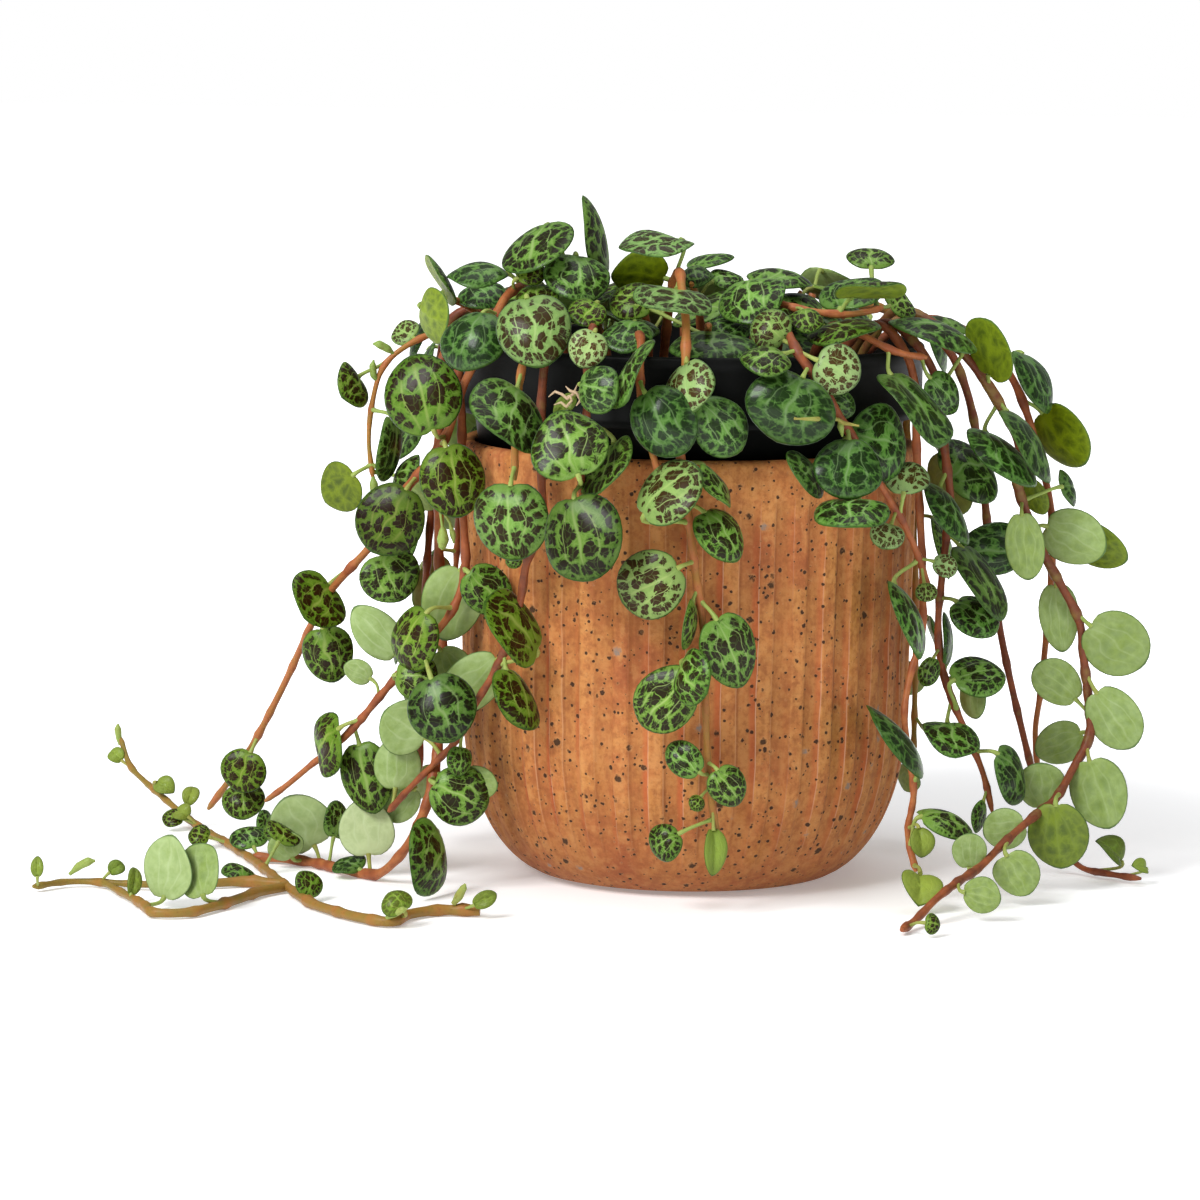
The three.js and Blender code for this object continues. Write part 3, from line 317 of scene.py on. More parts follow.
     "route": [[32, 124, -32], [38, 122, -37], [45, 118.5, -38], [53, 117, -33]],
     "leaves": [[51, 106.5, -43, 66, 49, 22, 22], [57, 109, -30, 30, 10, 9, 11],
      [34.5, 122.5, -40, -36, 74, 17, 17]]},
    {"name": "strand_right_b", "root": [35, -13], "bark": 0.95, "shades": {3: 0.5},
     "looks": [0.75, 0.8, 0.85, 0.7, 0.7, 0.9, 0.7, 0.1, 0.6, 0.6, 0.8, 0.5],
     "route": [[41, 125, -18], [49, 121.5, -22], [55, 113, -22], [57, 98, -22], [59, 87, -22],
      [58, 73, -22], [57, 61, -22], [57, 52, -22], [59, 43, -22], [62, 36, -22], [66, 27, -22],
      [68, 22, -22], [70, 14, -22]],
     "leaves": [[54.5, 122, -26, 62, 74, 21, 21], [63, 92, -14, 15, 35, 18, 13],
      [58.5, 82.5, -28, 72, 37, 17, 17], [66.5, 67, -27, 67, 38, 20, 20], [65, 58.5, -26, 26, 40, 12, 12],
      [59, 53, -19, 76, 0, 9, 13], [66, 45, -27, 14, 54, 13, 13], [65, 41, -19, 119, -8, 11, 11],
      [55, 46, -27, -10, 10, 5, 7], [60.5, 31, -28, 37, 64, 14, 14], [74.5, 23, -22, 55, 23, 14, 14],
      [67, 13, -25, 55, 0, 6, 8]]},
    {"name": "strand_right_c", "root": [32, -22], "bark": 0.8,
     "looks": [0.85, 0.6, -1, -0.9],
     "route": [[39, 125, -23], [46, 121, -27], [50, 114, -28], [51, 100, -28], [52, 85, -28], [53, 70, -28],
      [53, 52, -29], [50, 42, -32], [50, 31, -34], [52, 22, -35], [52, 16, -35], [51, 9, -35], [51, 4, -36],
      [53, 0, -38]],
     "leaves": [[48, 30, -41, 85, 41, 21, 21], [59.5, 11.5, -36, 61, 68, 14, 14],
      [54, 7, -41, 20, 20, 6, 7], [54, -3.5, -49, 25, 51, 10, 10]]},
    {"name": "strand_right_main", "root": [37, -3], "bark": 1.05, "stout": [1.0, 0.8],
     "shades": {9: 0.4, 15: 0.5},
     "looks": [0.8, 0.95, 0.85, 0.9, 0.35, 0.15, 0.9, 0.9, 0.2, 0.3, 0.3, 0.2, 0.3, 0.3, 0.2, 0.8, 0.15,
      0.1, 0.3, 0.35, 0.2],
     "route": [[45, 127, -8], [54, 125, -14], [61, 118, -18], [67, 111, -18], [70, 106, -18], [74, 98, -18],
      [74, 89, -17], [78, 78, -15], [83, 68, -13], [88, 60, -11], [90, 48, -10], [91, 41, -10],
      [91, 28, -12], [87, 23, -15], [84, 17, -20], [78, 12, -28], [71, 5, -40], [66, 0, -49], [60, -4, -58],
      [52, -11, -70], [50, -13, -76]],
     "leaves": [[56.5, 124.5, -6, 61, 76, 14, 14], [67.5, 119, -24, 127, 18, 16, 16],
      [70.5, 95.5, -25, 66, 54, 20, 20], [76.5, 98.5, -22, 79, 40, 20, 20], [76, 75, -20, 172, 8, 9, 16],
      [87, 77, -11, 172, 8, 13, 15], [85, 88, -10, 75, 22, 9, 9], [78, 86, -12, 160, 10, 6, 9],
      [84, 59, -8, 178, 6, 9, 16], [97, 53, -12, 175, 8, 15, 16], [84, 44, -8, 178, 6, 10, 13],
      [97, 36, -12, 175, 6, 12, 16], [85, 30, -8, 178, 6, 10, 12], [94, 19, -14, 172, 6, 13, 17],
      [81, 20, -15, 178, 8, 11, 11], [85, 9, -24, 170, 8, 14, 16], [73, 10, -26, 178, 8, 10, 10],
      [65, 5, -42, 178, 10, 8, 9], [76, 0, -41, 170, 12, 11, 11], [68, -5, -60, 170, 12, 9, 9],
      [57, -12, -77, 20, 20, 5, 4]]},
    {"name": "strand_right_behind", "root": [38, 8], "bark": 0.8,
     "looks": [0.9, 1, 0.9, 0.9],
     "route": [[48, 125, 2], [60, 124, 0], [70, 116, -2], [76, 104, -3], [80, 90, -3], [82, 82, -2],
      [82, 66, 0], [81, 51, 2], [80, 38, 3], [79, 29, 4], [80, 24, 4]],
     "leaves": [[77.5, 112.5, -8, 65, 36, 16, 16], [83.5, 99.5, -9, 133, 18, 16, 16],
      [92, 75, -3, 162, 10, 10, 15], [69, 74, -4, 20, 5, 12, 16]]},
    {"name": "strand_right_floor", "root": [31, 20], "bark": 1.05,
     "looks": [0.5, -0.6, -0.8],
     "route": [[44, 125, 14], [55, 122, 16], [62, 110, 16], [66, 90, 16], [70, 60, 14], [76, 34, 12],
      [82, 14, 8], [87, 5, 2], [91, 2, -1], [96, 1, -6], [104, 0, -12]],
     "leaves": [[58.5, 88.5, 22, 130, 15, 15, 16], [97.5, 5.5, -8, 55, 28, 8, 8],
      [104, 2, -13, 60, 30, 4, 5]]},
    {"name": "spray_top_right", "root": [14, -9], "bark": 0.6,
     "looks": [0.7, 0.7, 0.3, 0.8, 0.85, 0.5, 0.6, 0.8],
     "route": [[15, 126, -20], [18, 129, -30], [23, 128, -34], [31, 126, -35], [38, 127, -33],
      [43, 128, -29]],
     "leaves": [[13.5, 130, -33, -36, 58, 16, 16], [20, 134.5, -12, 17, 77, 15, 15],
      [26, 125, -40, 5, 55, 8, 8], [36, 131.5, -26, -28, 58, 15, 15], [40.5, 132.5, -33, -159, 67, 16, 16],
      [46.5, 129, -22, 53, 37, 9, 9], [40, 139, -6, 10, 66, 11, 10], [9, 123, -42, 5, 60, 12, 11]]},
    {"name": "spray_top_middle", "root": [3, -4], "bark": 0.5,
     "looks": [1, 0.8, 0.8, 0.7],
     "route": [[2, 126, -12], [1, 131, -20], [0, 133, -26]],
     "leaves": [[-11.5, 135, -14, -175, 33, 13, 13], [4, 138, -12, -47, 73, 11, 11],
      [1, 134.5, -22, -9, 57, 8, 8], [8, 134, -16, 20, 55, 8, 8]]},
    {"name": "spray_front_rim", "root": [3, -28], "bark": 0.5,
     "looks": [0.85, 0.3],
     "route": [[4, 123, -38], [4, 123.5, -45]],
     "leaves": [[5, 119.5, -50, 0, 74, 20, 15], [-13, 129, -30, -5, 40, 11, 11]]},
    {"name": "spray_top_left", "root": [-22, -5], "bark": 0.5,
     "looks": [0.6, 0.6, 0.75],
     "route": [[-22, 126, -10], [-26, 133, -16], [-28, 137, -18]],
     "leaves": [[-21.5, 143, -15, 82, 15, 19, 19], [-34.5, 141, -22, -46, 54, 18, 18],
      [-25.5, 134, -26, 13, 47, 15, 15]]},
    {"name": "spray_left", "root": [-40, 14], "bark": 0.5,
     "looks": [1, 0.9, 0.8],
     "route": [[-46, 124, 6], [-52, 128, -4], [-55, 129, -14]],
     "leaves": [[-55.5, 133, -20, 111, 25, 13, 13], [-58, 125, -24, 119, 3, 13, 13],
      [-47, 130, -4, -26, 66, 11, 11]]},
]

plant = {
    "stemStep": 9,
    "stemRadius": 1.0,
    "petioleRadius": 0.62,
    "petioleLength": 3.2,
    "bladeDome": 0.95,
    "bladeBelly": 0.45,
    "gap": 0.45,
    "ownGap": 0.15,
    "floorGap": 0.4,
    "depthSteps": [0, -1.3, 1.3, -2.6, 2.6, -3.9, 3.9, -5.2, 5.2, -6.5, 6.5, -8, 8, -10, 10],
    "shrinkSteps": [1, 0.88, 0.76],
}

# Places are read off a front view through the pot's axis, seen from here; a third number is depth.
viewpoint = {"distance": 1100, "height": 202.4}
backStrands = {"count": 10, "firstAngle": 32, "lastAngle": 167, "rootRadius": 38, "hangRadius": 56}
middleShoots = {"count": 10, "innerRadius": 9, "outerRadius": 35}
drawState = {"seed": 4117}


def draw(low, high):
    # the same generator gives every random draw of the strands
    drawState["seed"] = (drawState["seed"] * 16807) % 2147483647
    return low + (high - low) * drawState["seed"] / 2147483647


def place(*numbers):
    return np.array(numbers, dtype=float)


def seen(x, z, depth):
    scale = 1 + depth / viewpoint["distance"]
    return place(x * scale, depth, viewpoint["height"] + (z - viewpoint["height"]) * scale)


def backStrand(index):
    rule = backStrands
    turned = rule["firstAngle"] + (rule["lastAngle"] - rule["firstAngle"]) * index / (rule["count"] - 1)
    angle = math.radians(turned)
    cosine, sine = math.cos(angle), math.sin(angle)
    root = rule["rootRadius"] + draw(-3, 3)
    hang = rule["hangRadius"] + draw(0, 4)
    drop = draw(48, 112)
    sway = draw(-5, 5)

    def at(out, z, side=0.0):
        return place(out * cosine - side * sine, out * sine + side * cosine, z)

    points = [at(root + 5, 125), at(50, 126.5), at(hang, 121)]
    end = max(123 - drop, 10)
    z = 108
    while z > end:
        points.append(at(hang + (108 - z) * 0.06, z, sway * math.sin((108 - z) / 26)))
        z -= 14
    points.append(at(hang + (108 - end) * 0.06, end, sway * math.sin((108 - end) / 26)))
    leaves = []
    size = draw(13, 16)
    side = 1 if index % 2 else -1
    z = 122
    while z > end - 4:
        age = (z - end) / (122 - end)
        width = size * (0.55 + 0.5 * min(1, age * 1.6)) * draw(0.88, 1.08)
        out = hang + (122 - z) * 0.05 + draw(1, 4)
        centre = at(out, z - 3, side * (width * 0.5 + 2.2))
        turn = 90 + turned + side * draw(8, 42)
        lift = draw(5, 40)
        leaves.append({"centre": centre, "turn": turn, "lift": lift, "width": width,
                       "length": width * draw(0.98, 1.15), "look": 0.25 + 0.65 * age})
        side = -side
        z -= draw(10, 13)
    return {"name": f"strand_back_{index + 1}", "root": [root * cosine, root * sine],
            "points": points, "leaves": leaves, "bark": 0.35 + 0.06 * index}


def middleShoot(index):
    rule = middleShoots
    angle = math.radians(index * 137.5 + 60)
    share = math.sqrt((index + 0.5) / rule["count"])
    radius = rule["innerRadius"] + (rule["outerRadius"] - rule["innerRadius"]) * share
    x = radius * math.cos(angle)
    y = 6 + radius * math.sin(angle) * 0.86
    lean = draw(3, 7)
    height = draw(9, 20) * (1 - 0.3 * radius / rule["outerRadius"])
    top = place(x + lean * math.cos(angle), y + lean * math.sin(angle), 117 + height)
    points = [place(x, y, 116), place((x + top[0]) / 2, (y + top[1]) / 2, 117 + height * 0.6), top]
    leaves = []
    for number in range(4):
        around = angle + math.radians(number * 137.5 + draw(-25, 25))
        width = draw(11, 16)
        reach = width * 0.5 + draw(1, 3)
        z = 119 + height * (0.35 + 0.16 * number)
        centre = place(top[0] + reach * math.cos(around), top[1] + reach * math.sin(around), z)
        lift = draw(48, 76)
        length = width * draw(0.98, 1.12)
        leaves.append({"centre": centre, "turn": 90 + math.degrees(around), "lift": lift, "width": width,
                       "length": length, "look": 0.85 - 0.18 * number})
    return {"name": f"shoot_middle_{index + 1}", "root": [x, y],
            "points": points, "leaves": leaves, "bark": 0.5}


def splineThrough(points, count, steps=200):
    # a centripetal spline through the points, in count equal lengths
    points = [np.asarray(point, dtype=float) for point in points]
    ends = [2 * points[0] - points[1], *points, 2 * points[-1] - points[-2]]
    along = np.linspace(0, 1, steps + 1)

    def at(share):
        reach = (len(points) - 1) * share
        segment = min(int(reach), len(points) - 2)
        weight = reach - segment
        before, start, finish, after = ends[segment:segment + 4]
        spans = ((before, start), (start, finish), (finish, after))
        first, middle, last = (np.sum((b - a) ** 2) ** 0.25 for a, b in spans)
        middle = middle if middle >= 1e-4 else 1.0
        first = first if first >= 1e-4 else middle
        last = last if last >= 1e-4 else middle
        leave = (start - before) / first - (finish - before) / (first + middle) + (finish - start) / middle
        arrive = (finish - start) / middle - (after - start) / (middle + last) + (after - finish) / last
        leave, arrive = leave * middle, arrive * middle
        square = -3 * start + 3 * finish - 2 * leave - arrive
        cube = 2 * start - 2 * finish + leave + arrive
        return start + leave * weight + square * weight ** 2 + cube * weight ** 3

    lengths = [0.0]
    previous = at(0)
    for share in along[1:]:
        current = at(share)
        lengths.append(lengths[-1] + np.linalg.norm(current - previous))
        previous = current
    if count is None:
        return lengths[-1]
    targets = np.linspace(0, lengths[-1], count + 1)
    return [at(share) for share in np.interp(targets, lengths, along)]


def layStem(points, start=()):
    lowest = plant["stemRadius"] + plant["floorGap"]
    rested = [place(x, y, lowest if z < lowest + 1.2 else z) for x, y, z in points]
    steps = max(2, math.floor(splineThrough(rested, None) / plant["stemStep"] + 0.5))
    path = [*start, *splineThrough(rested, steps)]
    samples = []
    for a, b in zip(path, path[1:]):
        samples += [a + (b - a) * part / 5 for part in range(5)]
    return {"path": path, "samples": samples}


# Half a width across and half a length along, round the blade from one side of its notch.
bladeOutline = [(0.44, -0.95), (0.94, -0.42), (0.96, 0.36), (0.46, 0.94),
                (-0.46, 0.94), (-0.96, 0.36), (-0.94, -0.42), (-0.44, -0.95)]


def setBlade(leaf, samples):
    reach = leaf["length"] / 2 + plant["petioleLength"]
    misses = np.abs(np.linalg.norm(samples - leaf["centre"], axis=1) - reach)
    best, chosen = math.inf, 0
    for number, miss in enumerate(misses):
        if miss < best - 0.3:
            best, chosen = miss, number
    leaf["node"] = samples[chosen]
    turn, lift = math.radians(leaf["turn"]), math.radians(leaf["lift"])
    normal = place(math.sin(turn) * math.cos(lift), -math.cos(turn) * math.cos(lift), math.sin(lift))
    along = leaf["centre"] - leaf["node"]
    along = along - normal * along.dot(normal)
    if np.linalg.norm(along) < 0.5:
        along = place(0, 0, -1) + normal * normal[2]
    leaf["normal"] = normal
    leaf["along"] = along / np.linalg.norm(along)
    leaf["across"] = np.cross(leaf["along"], normal)
    leaf["base"] = onBlade(leaf, 0, -0.8, 0)
    leaf["rim"] = np.array([onBlade(leaf, u, v, 0) for u, v in bladeOutline])
    leaf["radius"] = max(leaf["width"], leaf["length"]) * 0.52
    return leaf


def onBlade(leaf, u, v, height):
    return (leaf["centre"] + leaf["across"] * u * leaf["width"] / 2
            + leaf["along"] * v * leaf["length"] / 2 + leaf["normal"] * height)


def rodsMeetBlade(a, b, leaf, distance):
    # which of the rods from a to b come within a distance of the blade
    distance = np.broadcast_to(distance, len(a))

    def within(points, heights):
        offset = points - leaf["centre"]
        u = 2 * offset @ leaf["across"] / (leaf["width"] + 2 * distance)
        v = 2 * offset @ leaf["along"] / (leaf["length"] + 2 * distance)
        off = np.hypot(u, v)
        thick = np.where(heights > 0, plant["bladeDome"], plant["bladeBelly"]) * (1 - off * 0.8)
        return (off < 1.02) & (np.abs(heights) < thick + distance)

    heightA = (a - leaf["centre"]) @ leaf["normal"]
    heightB = (b - leaf["centre"]) @ leaf["normal"]
    crosses = heightA * heightB < 0
    share = np.where(crosses, heightA / np.where(crosses, heightA - heightB, 1), 0)
    middle = a + (b - a) * share[:, None]
    return within(a, heightA) | within(b, heightB) | (crosses & within(middle, np.zeros(len(a))))


def bladesMeet(first, second, distance):
    if np.linalg.norm(first["centre"] - second["centre"]) > first["radius"] + second["radius"] + distance:
        return False
    for one, other in ((first, second), (second, first)):
        starts = np.vstack([one["rim"], np.repeat(one["centre"][None], len(one["rim"]), 0)])
        stops = np.vstack([np.roll(one["rim"], -1, axis=0), one["rim"]])
        if rodsMeetBlade(starts, stops, other, distance).any():
            return True
    return False


def potWall(z):
    if z < coverPot["curveHeight"]:
        drop = 1 - max(0, z) / coverPot["curveHeight"]
        reach = coverPot["shoulderRadius"] - coverPot["footRadius"]
        return coverPot["footRadius"] + reach * math.sqrt(1 - drop * drop)
    share = (z - coverPot["curveHeight"]) / (coverPot["height"] - coverPot["curveHeight"])
    return coverPot["shoulderRadius"] + (coverPot["rimRadius"] - coverPot["shoulderRadius"]) * share


def clearOfPots(point):
    radius = math.hypot(point[0], point[1])
    z = point[2]
    if z < plant["floorGap"]:
        return False
    if z < coverPot["height"] + 0.5:
        return radius > potWall(z) + 0.5
    if z > nurseryPot["rimTop"] + 0.5 or radius > nurseryPot["rimRadius"] + 0.5:
        return True
    return radius < nurseryPot["rimRadius"] - nurseryPot["collarWall"] - 1 and z > soil["top"] + 0.6


placed = []
rods = {"a": [], "b": [], "radius": [], "owner": [], "petiole": []}


def addRod(a, b, radius, owner, petiole):
    for name, value in (("a", a), ("b", b), ("radius", radius), ("owner", owner), ("petiole", petiole)):
        rods[name].append(value)


def leafIsClear(leaf, owner, packed):
    for point in leaf["rim"]:
        if not clearOfPots(point) or not clearOfPots(point + (leaf["centre"] - point) * 0.4):
            return False
    petiole = [leaf["node"] + (leaf["base"] - leaf["node"]) * step / 4 for step in range(1, 5)]
    if not all(clearOfPots(point) for point in petiole):
        return False
    own = packed["owner"] == owner
    ownPetioles = own & packed["petiole"]
    if ownPetioles.any():
        a, b, radius = packed["a"][ownPetioles], packed["b"][ownPetioles], packed["radius"][ownPetioles]
        if rodsMeetBlade(a, b, leaf, radius).any():
            return False
    a, b = packed["a"][~own], packed["b"][~own]
    if len(a):
        distance = packed["radius"][~own] + plant["gap"]
        near = np.linalg.norm(a - leaf["centre"], axis=1) < leaf["radius"] + 9
        if near.any() and rodsMeetBlade(a[near], b[near], leaf, distance[near]).any():
            return False
        span = b - a
        square = np.maximum(np.sum(span * span, axis=1), 1e-9)
        for point in petiole:
            share = np.clip(np.sum((point - a) * span, axis=1) / square, 0, 1)
            apart = np.linalg.norm(point - (a + span * share[:, None]), axis=1)
            if (apart < distance + plant["petioleRadius"]).any():
                return False
    for other in placed:
        distance = plant["ownGap"] if other["owner"] == owner else plant["gap"]
        if bladesMeet(leaf, other, distance):
            return False
        reach = distance + plant["petioleRadius"]
        if rodsMeetBlade(leaf["node"][None], leaf["base"][None], other, reach)[0]:
            return False
    return True


def placeLeaf(wanted, samples, owner):
    # a leaf that would cross another strand moves along the line of sight, then gets smaller
    packed = {name: np.array(values) for name, values in rods.items()}
    eye = place(0, -viewpoint["distance"], viewpoint["height"])
    for shrink in plant["shrinkSteps"]:
        for step in plant["depthSteps"]:
            leaf = dict(wanted)
            leaf["centre"] = eye + (wanted["centre"] - eye) * (1 + step / viewpoint["distance"])
            leaf["width"] = wanted["width"] * shrink
            leaf["length"] = wanted["length"] * shrink
            setBlade(leaf, samples)
            if leafIsClear(leaf, owner, packed):
                return leaf
    return None


def growStrand(strand):
    x, y = strand["root"]
    points = strand.get("points") or [seen(*row) for row in strand["route"]]
    foot = [place(x, y, soil["top"] - soil["holeDepth"] + 1)]
    strand["stems"] = [layStem([place(x, y, soil["top"] + 1), *points], foot)]
    for branch in strand.get("branches", []):
        strand["stems"].append(layStem([seen(*row) for row in branch]))
    for stem in strand["stems"]:
        samples = stem["samples"]
        for i in range(0, len(samples) - 1, 2):
            b = samples[min(i + 2, len(samples) - 1)]
            addRod(samples[i], b, plant["stemRadius"], strand["name"], False)


def leafSeen(row, look, shade=0.0):
    x, z, depth, turn, lift, width, length = row
    scale = 1 + depth / viewpoint["distance"]
    return {"centre": seen(x, z, depth), "turn": turn, "lift": lift,
            "width": width * scale, "length": length * scale, "look": look, "shade": shade}


def leafStrand(strand):
    # leaves grow from what stands well above the soil or has left the pot
    samples = [point for stem in strand["stems"] for point in stem["samples"]]
    samples = np.array([(x, y, z) for x, y, z in samples
                        if z > soil["top"] + 4 or math.hypot(x, y) > nurseryPot["rimRadius"]])
    wantedLeaves = strand["leaves"]
    if "looks" in strand:
        # a leaf's shade above 0 is a painted shade that darkens it, below 0 a paler, creamier net
        shades = strand.get("shades", {})
        wantedLeaves = [leafSeen(row, look, shades.get(number, 0.0))
                        for number, (row, look) in enumerate(zip(strand["leaves"], strand["looks"]))]
    strand["grown"] = []
    for wanted in wantedLeaves:
        leaf = placeLeaf(wanted, samples, strand["name"])
        if leaf is None:
            continue
        leaf["owner"] = strand["name"]
        placed.append(leaf)
        addRod(leaf["node"], leaf["base"], plant["petioleRadius"], strand["name"], True)
        strand["grown"].append(leaf)
    # the smallest leaves, which the simple model does without, sit right beside their stem
    for *row, look in strand.get("smallLeaves", []):
        leaf = setBlade(leafSeen(row, look), samples)
        leaf["centre"][2] += max(0.0, 1.2 - leaf["rim"][:, 2].min())
        strand["grown"].append(setBlade(leaf, samples))


strands += [backStrand(index) for index in range(backStrands["count"])]
strands += [middleShoot(index) for index in range(middleShoots["count"])]
for strand in strands:
    growStrand(strand)
for strand in strands:
    leafStrand(strand)
print("strands laid:", len(strands), "leaves placed:", len(placed))


# Blade form: a round-edged disc in leaf units, across and along from -1 to 1, height from -1 to 1.
bladeForm = {
    "segments": 30,
    "topRings": [0.24, 0.48, 0.70, 0.86, 0.96, 1.0],
    "undersideRings": [0.97, 0.84, 0.5],
    "notchDepth": 0.13,
    "notchWidth": 0.24,
    "tipReach": 0.035,
    "midribGroove": 0.16,
    "midribKeel": 0.30,
}


def bladeTemplate():
    form = bladeForm
    corners = []
    faces = []
    underside = []
    segments = form["segments"]

    def outline(angle):
        # angle 0 is the tip, half a turn is the notch where the petiole joins
        notch = form["notchDepth"] * math.exp(-((math.pi - abs(angle)) / form["notchWidth"]) ** 2)
        tip = form["tipReach"] * math.exp(-(angle / 0.3) ** 2)
        return 1 - notch + tip

    def topHeight(x, r):
        edge = math.sqrt(max(0.0, 1 - r ** 5))
        groove = form["midribGroove"] * math.exp(-(x / 0.07) ** 2) * (1 - r ** 2)
        return 0.42 * (1 - r * r) + 0.58 * edge - groove

    def undersideHeight(x, r):
        keel = form["midribKeel"] * math.exp(-(x / 0.06) ** 2) * (1 - r ** 3)
        return -0.5 * math.sqrt(max(0.0, 1 - r ** 4)) - keel

    def addRing(r, height):
        first = len(corners)
        for i in range(segments):
            angle = 2 * math.pi * i / segments
            if angle > math.pi:
                angle -= 2 * math.pi
            reach = r * (1 + (outline(angle) - 1) * r ** 4)
            x, y = reach * math.sin(angle), reach * math.cos(angle)
            corners.append((x, y, height(x, r)))
        return first

    corners.append((0, 0, topHeight(0, 0)))
    rings = [addRing(r, topHeight) for r in form["topRings"]]
    rings += [addRing(r, undersideHeight) for r in form["undersideRings"]]
    corners.append((0, 0, undersideHeight(0, 0)))
    last = len(corners) - 1
    for i in range(segments):
        nextOne = (i + 1) % segments
        faces.append((0, rings[0] + nextOne, rings[0] + i))
        underside.append(0)
        for number, (inner, outer) in enumerate(zip(rings, rings[1:])):
            faces.append((inner + i, inner + nextOne, outer + nextOne, outer + i))
            underside.append(0 if number < len(form["topRings"]) - 1 else 1)
        faces.append((last, rings[-1] + i, rings[-1] + nextOne))
        underside.append(1)
    mesh = bpy.data.meshes.new("bladeTemplate")
    mesh.from_pydata(corners, [], faces)
    leafPlace = mesh.attributes.new("leafPlace", "FLOAT_VECTOR", "POINT")
    leafPlace.data.foreach_set("vector", np.array(corners, dtype=float).ravel())
    side = mesh.attributes.new("underside", "FLOAT", "FACE")
    side.data.foreach_set("value", underside)
    return bpy.data.objects.new("bladeTemplate", mesh)


# What one strand's skeleton carries: points for blades, lines for stems and petioles.
pointValues = ["isBlade", "leafSeed", "leafAge", "leafGlow", "leafShade", "halfWidth", "halfLength", "dome",
               "cup", "fold", "wave", "droop", "egg", "girth", "bark"]
pointVectors = ["leafCentre", "across", "along", "outward"]

stemForm = {
    "sides": 10,
    "step": 1.3,
    "rootRadius": 1.0,
    "tipRadius": 0.62,
    "nodeSwelling": 0.42,
    "nodeWidth": 1.5,
    "petioleRadius": 0.44,
    "petioleFlare": 0.32,
    "petioleSteps": 9,
}

shapeDraws = np.random.RandomState(730)


